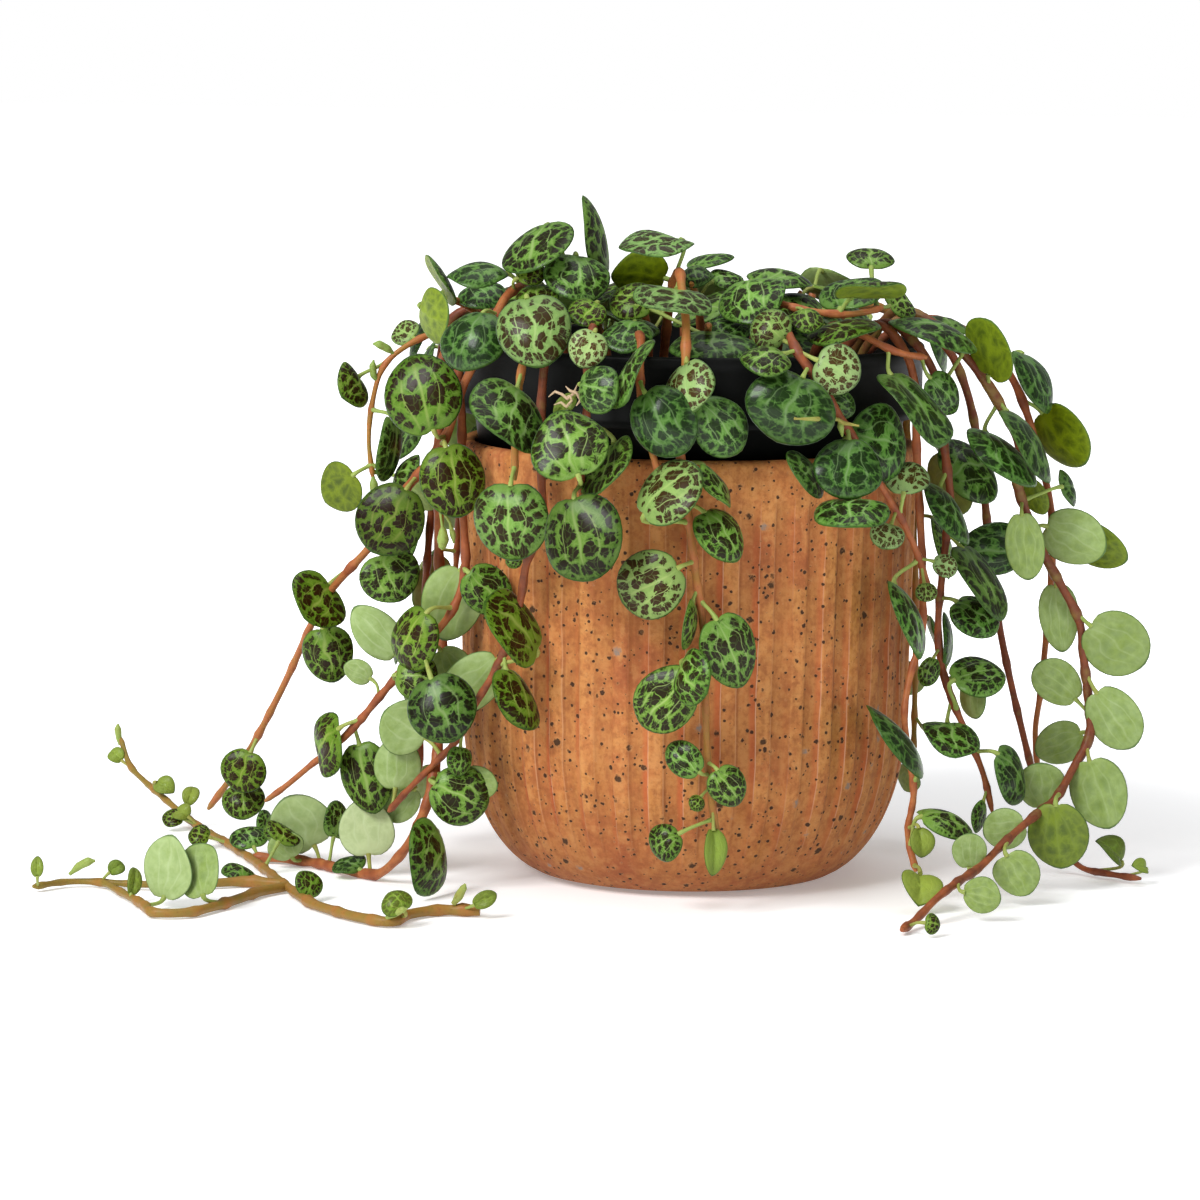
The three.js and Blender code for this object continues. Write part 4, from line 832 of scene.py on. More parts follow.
def skeletonOf(strand):
    points = []
    edges = []

    def addLine(rows):
        # place, radius and bark along a stem, a petiole or a small part
        for number, (position, radius, bark) in enumerate(rows):
            if number:
                edges.append((len(points) - 1, len(points)))
            points.append((position, {"girth": radius * mm, "bark": bark}))

    form = stemForm
    finePoints = []
    nodes = np.array([leaf["node"] for leaf in strand["grown"]]).reshape(-1, 3)
    for number, stem in enumerate(strand["stems"]):
        isMain = number == 0
        length = splineThrough(stem["path"][1:] if isMain else stem["path"], None)
        count = max(4, round(length / form["step"]))
        startRadius, tipRadius = strand.get("stout", (form["rootRadius"], form["tipRadius"]))
        if not isMain:
            tipRadius = form["tipRadius"]
        tone = strand["bark"] if isMain else strand.get("branchBark", strand["bark"])
        tone += shapeDraws.uniform(-0.06, 0.06)
        joints = []
        reach = shapeDraws.uniform(8, 12)
        while reach < length:
            joints.append(reach)
            reach += shapeDraws.uniform(9, 14)
        rows = []
        for i, point in enumerate(splineThrough(stem["path"], count)):
            share = i / count
            run = share * length
            near = np.linalg.norm(nodes - point, axis=1).min(initial=math.inf)
            swelling = math.exp(-(near / form["nodeWidth"]) ** 2)
            for joint in joints:
                swelling = max(swelling, 0.6 * math.exp(-((run - joint) / form["nodeWidth"]) ** 2))
            radius = startRadius + (tipRadius - startRadius) * share ** 1.4
            radius *= 1 + form["nodeSwelling"] * swelling
            if i == count:
                radius *= 0.55
            # a stem on the surface rests on it, and the oldest part is the darkest
            point = np.array([point[0], point[1], max(point[2], radius + 0.05)])
            aged = 0.3 * math.exp(-(run / 30) ** 2) if isMain else 0
            rows.append((point, radius, tone + aged - 0.25 * share ** 3 + 0.2 * swelling))
        addLine(rows)
        finePoints += [point for point, radius, bark in rows]
    finePoints = np.array(finePoints)

    # small things beside the leaves: buds, pods, a flower spike, dry sheaths; each row ends in its radius
    for sprig in strand.get("sprigs", []):
        corners = [(seen(x, z, depth), radius) for x, z, depth, radius in sprig["route"]]
        rows = []
        for (first, firstRadius), (second, secondRadius) in zip(corners, corners[1:]):
            for step in range(5 if second is corners[-1][0] else 4):
                share = step / 4
                point = first * (1 - share) + second * share
                if sprig.get("round"):
                    share = share * share * (3 - 2 * share)
                rows.append((point, firstRadius * (1 - share) + secondRadius * share, sprig["bark"]))
        addLine(rows)

    for leaf in strand["grown"]:
        start = finePoints[np.argmin(np.linalg.norm(finePoints - leaf["node"], axis=1))]
        finish = onBlade(leaf, 0, -0.84, -0.05)
        away = finish - start
        reach = np.linalg.norm(away)
        # the petiole leaves the stem straight and arrives along the blade
        first = start + away * 0.35 + leaf["normal"] * reach * 0.05
        second = finish - leaf["along"] * reach * 0.38 - leaf["normal"] * reach * 0.06
        small = min(1.0, leaf["width"] / 12)
        tone = 2 + shapeDraws.uniform(-0.15, 0.15) + 0.2 * leaf["look"]
        rows = []
        for i in range(form["petioleSteps"] + 1):
            share = i / form["petioleSteps"]
            stay = 1 - share
            point = (start * stay ** 3 + first * 3 * stay * stay * share
                     + second * 3 * stay * share * share + finish * share ** 3)
            ends = math.exp(-(share / 0.14) ** 2) + 0.6 * math.exp(-(stay / 0.2) ** 2)
            radius = form["petioleRadius"] + form["petioleFlare"] * ends
            rows.append((point, radius * (0.55 + 0.45 * small), tone))
        addLine(rows)
        facesBack = leaf["normal"][1] > 0.2
        turned = facesBack and "looks" in strand
        points.append((leaf["centre"], {
            "isBlade": 1,
            "leafSeed": shapeDraws.randint(0, 1000) / 1000,
            "leafAge": shapeDraws.uniform(0.3, 0.8) if turned else leaf["look"],
            # leafGlow above 0 is a painted glow of light shining through the underside, below 0 a paler
            # underside
            "leafGlow": leaf["look"] if turned else shapeDraws.uniform(0, 0.5),
            "leafShade": leaf.get("shade", 0.0),
            "halfWidth": leaf["width"] / 2 * mm,
            "halfLength": leaf["length"] / 2 * mm,
            "dome": (0.5 + 0.45 * small) * mm,
            "cup": shapeDraws.uniform(-0.08, 0.10) if facesBack else shapeDraws.uniform(-0.26, 0.0),
            "fold": 0.6 if leaf["look"] < -0.5 and not facesBack else shapeDraws.uniform(-0.12, 0.12),
            "wave": shapeDraws.uniform(0.0, 0.09),
            "droop": shapeDraws.uniform(-0.10, 0.05),
            "egg": shapeDraws.uniform(-0.15, 0.13),
            "leafCentre": leaf["centre"] * mm,
            "across": leaf["across"],
            "along": leaf["along"],
            "outward": leaf["normal"],
        }))

    mesh = bpy.data.meshes.new(strand["name"] + "_skeleton")
    mesh.from_pydata([tuple(point * mm) for point, values in points], edges, [])
    for kind, slot, nothing, names in (("FLOAT", "value", 0.0, pointValues),
                                       ("FLOAT_VECTOR", "vector", (0, 0, 0), pointVectors)):
        for name in names:
            rows = np.array([values.get(name, nothing) for point, values in points], dtype=float)
            mesh.attributes.new(name, kind, "POINT").data.foreach_set(slot, rows.ravel())
    skeleton = bpy.data.objects.new(strand["name"] + "_grown", mesh)
    bpy.context.scene.collection.objects.link(skeleton)
    return skeleton


def leafyStrandTree(materials):
    tree, node = newTree("leafyStrand", {"Blade form": "Object", "Stem sides": "Int",
                                         "Blade thickness": "Float", "Rim waves": "Float"})
    given = node("NodeGroupInput")
    value = {}
    for kind, names in (("FLOAT", [*pointValues, "underside"]),
                        ("FLOAT_VECTOR", [*pointVectors, "leafPlace"])):
        for name in names:
            value[name] = node("GeometryNodeInputNamedAttribute", name, data_type=kind)
    parts = node("GeometryNodeSeparateGeometry", given, value["isBlade"], domain="POINT")

    # blades: the form is set on every point, then bent by that leaf's own numbers
    form = node("GeometryNodeObjectInfo", given.outputs["Blade form"])
    blades = node("GeometryNodeInstanceOnPoints", parts, inputs={"Instance": form.outputs["Geometry"]})
    blades = node("GeometryNodeRealizeInstances", blades)
    x, y, z = node("SeparateXYZ", value["leafPlace"]).outputs
    reach = node("vector length", node("CombineXYZ", x, y))
    square = node("multiply", reach, reach)
    cube = node("multiply", square, reach)
    cupped = node("multiply", value["cup"], node("subtract", square, 0.7))
    folded = node("multiply", value["fold"], node("subtract", node("absolute", x), 0.35))
    phase = node("multiply", value["leafSeed"], 40)
    turns = node("multiply_add", node("arctan2", x, y), given.outputs["Rim waves"], phase)
    waved = node("multiply", node("sine", turns), value["wave"])
    bent = node("add", node("multiply_add", waved, cube, cupped), folded)
    towardsTip = node("add", y, 0.8)
    drooped = node("multiply", value["droop"], towardsTip)
    bent = node("multiply_add", drooped, towardsTip, bent)
    thick = node("multiply", z, node("multiply", value["dome"], given.outputs["Blade thickness"]))
    lift = node("multiply_add", bent, value["halfWidth"], thick)
    # egg-shaped leaves are wider towards the tip or towards the petiole
    acrossReach = node("multiply", node("multiply_add", y, value["egg"], 1), x)
    acrossReach = node("multiply", acrossReach, value["halfWidth"])
    alongReach = node("multiply", y, value["halfLength"])
    final = value["leafCentre"]
    for direction, amount in (("across", acrossReach), ("along", alongReach), ("outward", lift)):
        final = node("vector add", final, node("vector scale", value[direction], amount))
    blades = node("GeometryNodeSetPosition", blades, inputs={"Position": final})

    # stems and petioles: a round section follows each line, as thick as the line says
    lines = node("GeometryNodeMeshToCurve", parts.outputs["Inverted"])
    lines = node("GeometryNodeSetCurveRadius", lines, inputs={"Radius": value["girth"]})
    section = node("GeometryNodeCurvePrimitiveCircle", given.outputs["Stem sides"], 1.0, mode="RADIUS")
    tubes = node("GeometryNodeCurveToMesh", lines, section, inputs={"Fill Caps": True})
    if "Scale" in tubes.inputs:
        tree.links.new(value["girth"].outputs["Attribute"], tubes.inputs["Scale"])
    whole = node("GeometryNodeJoinGeometry", blades)
    tree.links.new(tubes.outputs["Mesh"], whole.inputs["Geometry"])
    whole = node("GeometryNodeRealizeInstances", node("GeometryNodeSetShadeSmooth", whole))
    for mask, name in ((None, "stem"), ("isBlade", "leafTop"), ("underside", "leafUnderside")):
        where = mask and node("FunctionNodeCompare", value[mask], 0.5, data_type="FLOAT",
                              operation="GREATER_THAN")
        whole = node("GeometryNodeSetMaterial", whole, where, materials[name])
    node("NodeGroupOutput", whole)
    return tree


def growPiece(strand, tree, template):
    skeleton = skeletonOf(strand)
    applyTree(skeleton, tree, {"Blade form": template, "Stem sides": stemForm["sides"],
                               "Blade thickness": 1.0, "Rim waves": 3.0})
    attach(skeleton, "root")
    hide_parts(strand["name"])


# What the leaf pattern is made of, in leaf units: half a leaf's width is 1.
leafPattern = {
    # place across and along, reach across and along, of the large blotches on one side of the midrib
    "blotches": [(0.28, -0.18, 0.25, 0.28), (0.50, 0.06, 0.15, 0.19), (0.21, 0.36, 0.18, 0.21)],
    "shift": 0.13,
    "veins": [0.58, 0.98],
    "veinWidth": 0.02,
    "sizeSpread": 0.3,
    "rings": [
        {"count": 15, "start": 0.62, "end": 0.90, "fill": 0.33, "apart": -0.055},
        {"count": 27, "start": 0.925, "end": 0.975, "fill": 0.22, "apart": -0.03},
    ],
    "gap": 0.006,
    "wander": 0.34,
    "lobes": 0.12,
    "lobeScale": 5.6,
    "biteScale": 5.2,
    "bite": 0.06,
    "raggedScale": 13.0,
    "ragged": 0.11,
    "midrib": 0.035,
}


def leafPatternNodes(node):
    # how far each point lies inside a dark blotch, below 0 in the pale net between them
    pattern = leafPattern
    seed = node("Attribute", attribute_name="leafSeed").outputs["Fac"]
    seed = node("round", node("multiply", seed, 1000))
    spot = node("Attribute", attribute_name="leafPlace").outputs["Vector"]
    shift = node("vector scale", (0.91, 0.57, 0.23), seed)
    flat = node("vector multiply", spot, (1, 1, 0))
    rim = node("vector length", flat)
    away = node("vector add", flat, shift)
    middle = (0.5, 0.5, 0.5)
    wander = node("vector subtract", node("noise", away, 1.7, 0).outputs["Color"], middle)
    bent = node("vector multiply_add", wander, (pattern["wander"],) * 3, flat)
    lobes = node("noise", away, pattern["lobeScale"], 3, 0.6)
    lobes = node("vector subtract", lobes.outputs["Color"], middle)
    ragged = node("vector multiply_add", lobes, (pattern["lobes"],) * 3, bent)
    ragged = node("vector multiply", ragged, (1, 1, 0))
    smoothX, smoothY, _ = node("SeparateXYZ", bent).outputs
    raggedX, raggedY, _ = node("SeparateXYZ", ragged).outputs
    out = node("vector length", ragged)
    side = node("sign", smoothX)
    sideways = node("absolute", raggedX)
    folded = node("CombineXYZ", sideways, raggedY)
    sideSeed = node("CombineXYZ", seed, side)

    # a few large blotches on each side of the midrib
    inside = None
    for number, (across, along, wide, high) in enumerate(pattern["blotches"]):
        chance = node("TexWhiteNoise", node("vector add", sideSeed, (0, 0, 3.7 * number + 1)))
        move = node("vector subtract", chance.outputs["Color"], middle)
        centre = node("vector multiply_add", move, (pattern["shift"],) * 3, (across, along, 0))
        size = node("multiply_add", chance, pattern["sizeSpread"], 1 - pattern["sizeSpread"] / 2)
        arm = node("vector multiply", node("vector subtract", folded, centre), (1 / wide, 1 / high, 0))
        depth = node("subtract", size, node("vector length", arm))
        depth = node("multiply", depth, min(wide, high))
        inside = depth if inside is None else node("maximum", inside, depth)

    # fine pale cracks bite into these from the edge
    cracks = node("TexVoronoi", node("vector add", ragged, shift), feature="DISTANCE_TO_EDGE",
                  inputs={"Scale": pattern["biteScale"], "Randomness": 1.0})
    bites = node("remap", cracks, 0, 0.16, pattern["bite"], 0)
    inside = node("subtract", inside, bites)

    # a ring of smaller blotches that point outwards, then a row of dots at the margin
    turn = node("arctan2", raggedX, raggedY)
    for number, row in enumerate(pattern["rings"]):
        share = node("multiply_add", turn, row["count"] / (2 * math.pi), row["count"] / 2)
        chance = node("TexWhiteNoise", node("CombineXYZ", node("floor", share), seed, 5.3 * number + 2.1))
        red, green, blue = node("SeparateColor", chance.outputs["Color"]).outputs
        offset = node("subtract", node("fract", share), node("multiply_add", blue, 0.2, 0.4))
        offset = node("multiply", node("absolute", offset), out)
        half = node("multiply", node("multiply_add", chance, 0.14, row["fill"]), out)
        width = node("multiply", node("subtract", half, offset), 2 * math.pi / row["count"])
        spread = row["end"] - row["start"]
        first = node("multiply_add", red, 0.5 * spread, row["start"] - 0.15 * spread)
        last = node("multiply_add", green, 0.25 * spread, row["end"] - 0.15 * spread)
        band = node("minimum", node("subtract", out, first), node("subtract", last, out))
        band = node("smooth_min", width, band, 0.06)
        band = node("multiply_add", bites, -0.5, band)
        # the ring fades out beside the notch
        band = node("subtract", band, node("remap", raggedY, -0.5, -0.95, 0, 0.13))
        # ring and large blotches keep a pale line between them
        band = node("minimum", band, node("multiply_add", inside, -1, row["apart"]))
        inside = node("maximum", inside, node("add", band, 0.012))

    # their edges are finely ragged
    jagged = node("noise", away, pattern["raggedScale"], 2, 0.6)
    jagged = node("multiply", node("subtract", jagged, 0.5), pattern["ragged"])
    inside = node("subtract", node("add", inside, jagged), pattern["gap"])

    # the midrib runs from the notch to past the middle, and thins on its way
    rib = node("multiply", node("remap", smoothY, -1, 0.8, 1.7, 0.1), pattern["midrib"])
    inside = node("minimum", inside, node("subtract", sideways, rib))

    # pairs of veins leave the notch like a fan, bend towards the tip and cut the blotches apart
    fromNotch = node("add", smoothY, 1)
    beside = node("absolute", smoothX)
    far = node("multiply_add", fromNotch, fromNotch, beside)
    fan = node("multiply_add", far, 0.12, node("arctan2", beside, fromNotch))
    width = node("add", fromNotch, 0.15)
    nearest = beside
    for veinTurn in pattern["veins"]:
        vein = node("absolute", node("subtract", fan, veinTurn))
        nearest = node("minimum", nearest, node("multiply", vein, width))
    thin = node("remap", out, 0.1, 0.85, pattern["veinWidth"], 0)
    inside = node("minimum", inside, node("subtract", nearest, thin))
    veins = node("smooth remap", nearest, 0, 0.06, 1, 0)
    veins = node("multiply", veins, node("remap", out, 0.5, 0.95, 1, 0))
    return inside, cracks, veins, out, away, rim


def leafTopMaterial():
    # waxy living leaf: clear skin over dark chlorophyll blotches in a pale green net
    material, node = newMaterial("waxy variegated leaf")
    inside, cracks, veins, out, away, rim = leafPatternNodes(node)
    age = node("Attribute", attribute_name="leafAge").outputs["Fac"]
    blur = node("remap", age, 0.2, 1, 0.012, 0.06)
    dark = node("smooth remap", inside, node("multiply", blur, -0.5), node("multiply", blur, 0.5))
    # a bud's blotches haven't coloured yet
    dark = node("multiply", dark, node("remap", age, -1, 0, 0.15))
    patchy = node("noise", away, 3.2, 3)

    # the net: palest along the midrib and the wide veins, greener close to the blotches
    depth = node("remap", inside, -0.075, -0.005)
    depth = node("multiply", depth, node("multiply_add", patchy, 1.1, 0.05), use_clamp=True)
    young = node("mix", depth, "#6c8a2e", "#41610c")
    old = node("mix", depth, "#74a050", "#2b5a17")
    net = node("mix", age, young, old)
    # the veins themselves are the palest lines, and finer ones branch between them
    palest = node("mix", age, "#a3ac5a", "#a9c590")
    lines = node("remap", cracks, 0.01, 0.08, 0.16, 0)
    lines = node("maximum", lines, node("multiply", veins, 0.6))
    net = node("mix", node("multiply", lines, 0.85), net, palest)
    # some leaves are creamier between browner blotches
    paintedShadeAndCream = node("Attribute", attribute_name="leafShade").outputs["Fac"]
    creamy = node("remap", paintedShadeAndCream, -0.1, -1, 0, 0.8)
    net = node("mix", creamy, net, "#a3bd80")
    blotch = node("mix", age, "#2c1a06", "#142008")
    brown = node("remap", age, 0.5, 1, 0.9, 0.25)
    blotch = node("mix", node("multiply", creamy, brown), blotch, "#4f3b1f")
    # inside a blotch the finest veins show as slightly lighter lines
    blotch = node("mix", node("remap", cracks, 0, 0.07, 0.3, 0), blotch, net)
    colour = node("mix", dark, net, blotch)
    # the youngest leaves are plain, the oldest deep green
    colour = node("mix", node("remap", age, -0.1, -0.9, 0, 0.85), colour, "#8fa04a")
    colour = node("mix", node("remap", age, 0.7, 1, 0, 0.62), colour, "#1c3a0c")
    # no two leaves have quite the same green, and each darkens towards its margin
    own = node("TexWhiteNoise", node("Attribute", attribute_name="leafSeed"))
    red, green, _ = node("SeparateColor", own.outputs["Color"]).outputs
    shade = node("multiply_add", red, 0.26, node("remap", out, 0.3, 1, 0, 0.22))
    # painted shade: a leaf with a shade above 0 is darkened all over
    shade = node("multiply_add", node("maximum", paintedShadeAndCream, 0), -0.3, node("subtract", 1.06, shade))
    hue = node("multiply_add", green, 0.022, 0.489)
    colour = node("HueSaturation", inputs={"Hue": hue, "Saturation": 1.05, "Value": shade, "Color": colour})
    colour = node("mix", node("remap", rim, 0.95, 0.985, 0, 0.75), colour, "#2c4a12")
    relief = node("multiply_add", node("noise", away, 26, 2), 0.12, node("remap", inside, -0.08, 0.14))
    waxy = node("remap", age, 0.35, 0.9, 0.1, 0.26)
    finishSurface(node, 0.35, 0.0004, relief, {"Base Color": colour, "Roughness": 0.42, "IOR": 1.42,
        "Specular IOR Level": 0.14, "Coat Weight": waxy, "Coat Roughness": 0.18, "Sheen Weight": 0.12,
        "Sheen Roughness": 0.2, "Sheen Tint": "#e4eee6"})
    return material


def leafUndersideMaterial():
    # pale, slightly felted underside, with the light that shines through it painted in as a yellow-green
    # glow
    material, node = newMaterial("pale leaf underside")
    inside, _, veins, _, away, rim = leafPatternNodes(node)
    glow = node("Attribute", attribute_name="leafGlow").outputs["Fac"]
    mottled = node("remap", node("noise", away, 2.6, 4, 0.6), 0.3, 0.7)

    # the blotches of the upper side show through as darker ghosts
    ghost = node("remap", inside, -0.06, 0.1, 0, 0.28)
    pale = node("mix", mottled, "#839a52", "#9fb478")
    palest = node("remap", glow, 0, -1, 0, 0.85)
    pale = node("mix", palest, pale, "#c6d2a2")
    pale = node("mix", ghost, pale, "#7d9558")
    pale = node("mix", node("multiply", veins, 0.2), pale, "#c2d0a8")
    # painted glow: above 0 the underside takes the yellow-green of light shining through it
    lit = node("mix", node("remap", inside, -0.08, 0.12), "#74870a", "#485904")
    colour = node("mix", node("maximum", glow, 0), pale, lit)
    colour = node("mix", node("remap", rim, 0.95, 0.985, 0, 0.8), colour, "#41602c")
    # painted shade: a leaf with a shade above 0 is darkened all over, one below 0 made paler
    paintedShadeAndCream = node("Attribute", attribute_name="leafShade").outputs["Fac"]
    shade = node("multiply_add", paintedShadeAndCream, -0.3, 1)
    colour = node("HueSaturation", inputs={"Value": shade, "Color": colour})
    relief = node("multiply_add", veins, 0.15, node("multiply", mottled, 0.25))
    finishSurface(node, 0.25, 0.0006, relief, {"Base Color": colour, "Roughness": 0.5, "IOR": 1.42,
        "Specular IOR Level": 0.3})
    return material


def stemMaterial():
    # smooth fleshy stem: bark 0 is olive gold, 1 red brown, 2 pale green petiole or bud, 3.5 dry and papery
    material, node = newMaterial("fleshy plant stem")
    bark = node("Attribute", attribute_name="bark").outputs["Fac"]
    spot = node("TexCoord").outputs["Object"]
    streaks = node("noise", spot, 420, 3)
    flecks = node("noise", spot, 1500, 1)
    wandering = node("multiply_add", node("subtract", streaks, 0.5), 0.7, bark)
    ramp = node("ValToRGB", node("divide", wandering, 4))
    fillRamp(ramp.color_ramp, [(0.0, "#84702f"), (0.09, "#9a6c32"), (0.15, "#a8653a"),
                               (0.2, "#94512f"), (0.27, "#6f3b28"), (0.4, "#958a42"), (0.5, "#93a252"),
                               (0.64, "#7b9645"), (0.82, "#b39a7c")])
    colour = node("mix", node("remap", flecks, 0.6, 0.75, 0, 0.35), ramp, "#6b4326")
    finishSurface(node, 0.3, 0.0004, streaks, {"Base Color": colour, "Roughness": 0.45, "IOR": 1.42,
        "Specular IOR Level": 0.3})
    return material


def turnedPiece(name, profile, segments):
    # profile rows are (radius, height) round a closed wall section, turned about the pot's axis
    corners = []
    for radius, z in profile:
        for i in range(segments):
            angle = 2 * math.pi * i / segments
            corners.append((radius * math.cos(angle), radius * math.sin(angle), z))
    faces = []
    rows = len(profile)
    for row in range(rows):
        below = (row + 1) % rows
        if profile[row][0] == 0 and profile[below][0] == 0:
            continue
        for i in range(segments):
            nextOne = (i + 1) % segments
            upper, lower = row * segments, below * segments
            faces.append((upper + i, lower + i, lower + nextOne, upper + nextOne))
    return showMesh(name, corners, faces)


def roundedCorner(centre, radius, start, stop, steps):
    # points of an arc in a wall section, angles in degrees
    points = []
    for step in range(steps + 1):
        angle = math.radians(start + (stop - start) * step / steps)
        points.append((centre[0] + radius * math.cos(angle), centre[1] + radius * math.sin(angle)))
    return points


def coverPotSection():
    # closed wall section, from the inside bottom over the rim and down to the foot
    pot = coverPot
    rimRound = 1.7
    mouth, foot, rimStart = pot["mouthRadius"], pot["footRadius"], pot["height"] - rimRound
    curve = pot["curveHeight"]
    section = [(0, pot["floorThickness"]), (pot["floorRadius"], pot["floorThickness"]),
               (mouth - 3.5, curve * 0.65), (mouth, curve + 23), (mouth, rimStart)]
    section += roundedCorner((mouth + rimRound, rimStart), rimRound, 180, 90, 4)
    section += roundedCorner((pot["rimRadius"] - rimRound, rimStart), rimRound, 90, 0, 5)
    rows = 88
    heights = [rimStart * (1 - row / rows) for row in range(1, rows)]
    section += [(potWall(z), z) for z in heights if z > 0.8]
    return section + [(foot + 0.5, 0.7), (foot - 0.2, 0.15), (foot - 1.2, 0), (0, 0)]


def flutingTree():
    names = ("Flutes", "Depth", "Ridge share", "Top", "Arch", "Bottom", "Fade", "Unevenness")
    tree, node = newTree("fluting", {**dict.fromkeys(names, "Float"), "Material": "Material"})
    given = node("NodeGroupInput")
    flutes, deep, ridgeShare, top, arch, bottom, fade, unevenness = (given.outputs[name] for name in names)
    position = node("GeometryNodeInputPosition")
    x, y, z = node("SeparateXYZ", position).outputs
    turn = node("divide", node("arctan2", y, x), 2 * math.pi)
    phase = node("fract", node("multiply", turn, flutes))
    groove = node("remap", phase, ridgeShare, 1, -1, 1)
    hollow = node("subtract", 1, node("multiply", groove, groove), use_clamp=True)
    hollow = node("power", hollow, 0.45)
    # each groove ends in a rounded arch under the rim band
    archDrop = node("subtract", 1, node("sqrt", hollow))
    top = node("subtract", top, node("multiply", archDrop, arch))
    below = node("smooth remap", node("subtract", top, z), 0, 0.0016)
    above = node("smooth remap", z, bottom, node("add", bottom, fade))
    depth = node("multiply", node("multiply", hollow, node("multiply", below, above)), deep)
    uneven = node("subtract", node("noise", position, 60, 2), 0.5)
    depth = node("multiply_add", uneven, unevenness, depth)
    outside = node("GeometryNodeInputNamedAttribute", "outside", data_type="FLOAT")
    depth = node("multiply", depth, outside)
    inwards = node("vector normalize", node("vector multiply", position, (-1, -1, 0)))
    inwards = node("vector scale", inwards, depth)
    body = node("GeometryNodeSetPosition", given, inputs={"Offset": inwards})
    body = node("GeometryNodeRealizeInstances", body)
    node("NodeGroupOutput", node("GeometryNodeSetMaterial", body, None, given.outputs["Material"]))
    return tree


def cleanShell(piece):
    # poles are closed, and faces point outwards
    shell = bmesh.new()
    shell.from_mesh(piece.data)
    bmesh.ops.remove_doubles(shell, verts=shell.verts, dist=1e-6)
    bmesh.ops.dissolve_degenerate(shell, edges=shell.edges, dist=1e-7)
    bmesh.ops.recalc_face_normals(shell, faces=shell.faces)
    shell.to_mesh(piece.data)
    shell.free()
    piece.data.shade_smooth()


def flutedCoverPot(material):
    pot = coverPot
    piece = turnedPiece("fluted_cover_pot", coverPotSection(), pot["flutes"] * 18)
    cleanShell(piece)
    outside = piece.data.attributes.new("outside", "FLOAT", "POINT")
    wall = []
    for vertex in piece.data.vertices:
        radius = math.hypot(vertex.co.x, vertex.co.y) / mm
        z = vertex.co.z / mm
        wall.append(1.0 if abs(radius - potWall(z)) < 0.05 and z > 1 else 0.0)
    outside.data.foreach_set("value", wall)
    applyTree(piece, flutingTree(), {
        "Flutes": float(pot["flutes"]), "Depth": pot["fluteDepth"] * mm,
        "Ridge share": clayFinish["ridgeShare"], "Top": pot["fluteTop"] * mm, "Arch": 4.5 * mm,
        "Bottom": 4 * mm, "Fade": 12 * mm, "Unevenness": 0.25 * mm, "Material": material})
    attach(piece, "root")
    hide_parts("cover_pot")


# Clay colours by share, lines along each flute's edges (place in the flute, width, strength, colour)
# and the specks burnt into it (cell size, share used, radius in cells, colour, depth).
clayFinish = {
    "body": [(0.3, "#a05530"), (0.42, "#b16c3a"), (0.52, "#bb7d43"), (0.62, "#b8723c"), (0.74, "#a85c33")],
    "ridgeShare": 0.42,
    # lines: a red painted shade by each ridge, a dark painted shadow line in the groove, and pale worn
    # edges that also act as painted highlights
    "lines": [(0.91, 0.13, 0.55, "#b4522c"), (0.47, 0.05, 0.4, "#784022"),
              (0.995, 0.022, 0.75, "#cfa083"), (0.42, 0.02, 0.5, "#c4926c")],
    "specks": [(8.0, 0.5, 0.085, "#84756a", 0.2), (5.2, 0.9, 0.125, "#33200f", 1.0),
               (2.9, 1.0, 0.14, "#24130a", 1.0), (1.7, 1.0, 0.17, "#28160a", 1.0)],
}


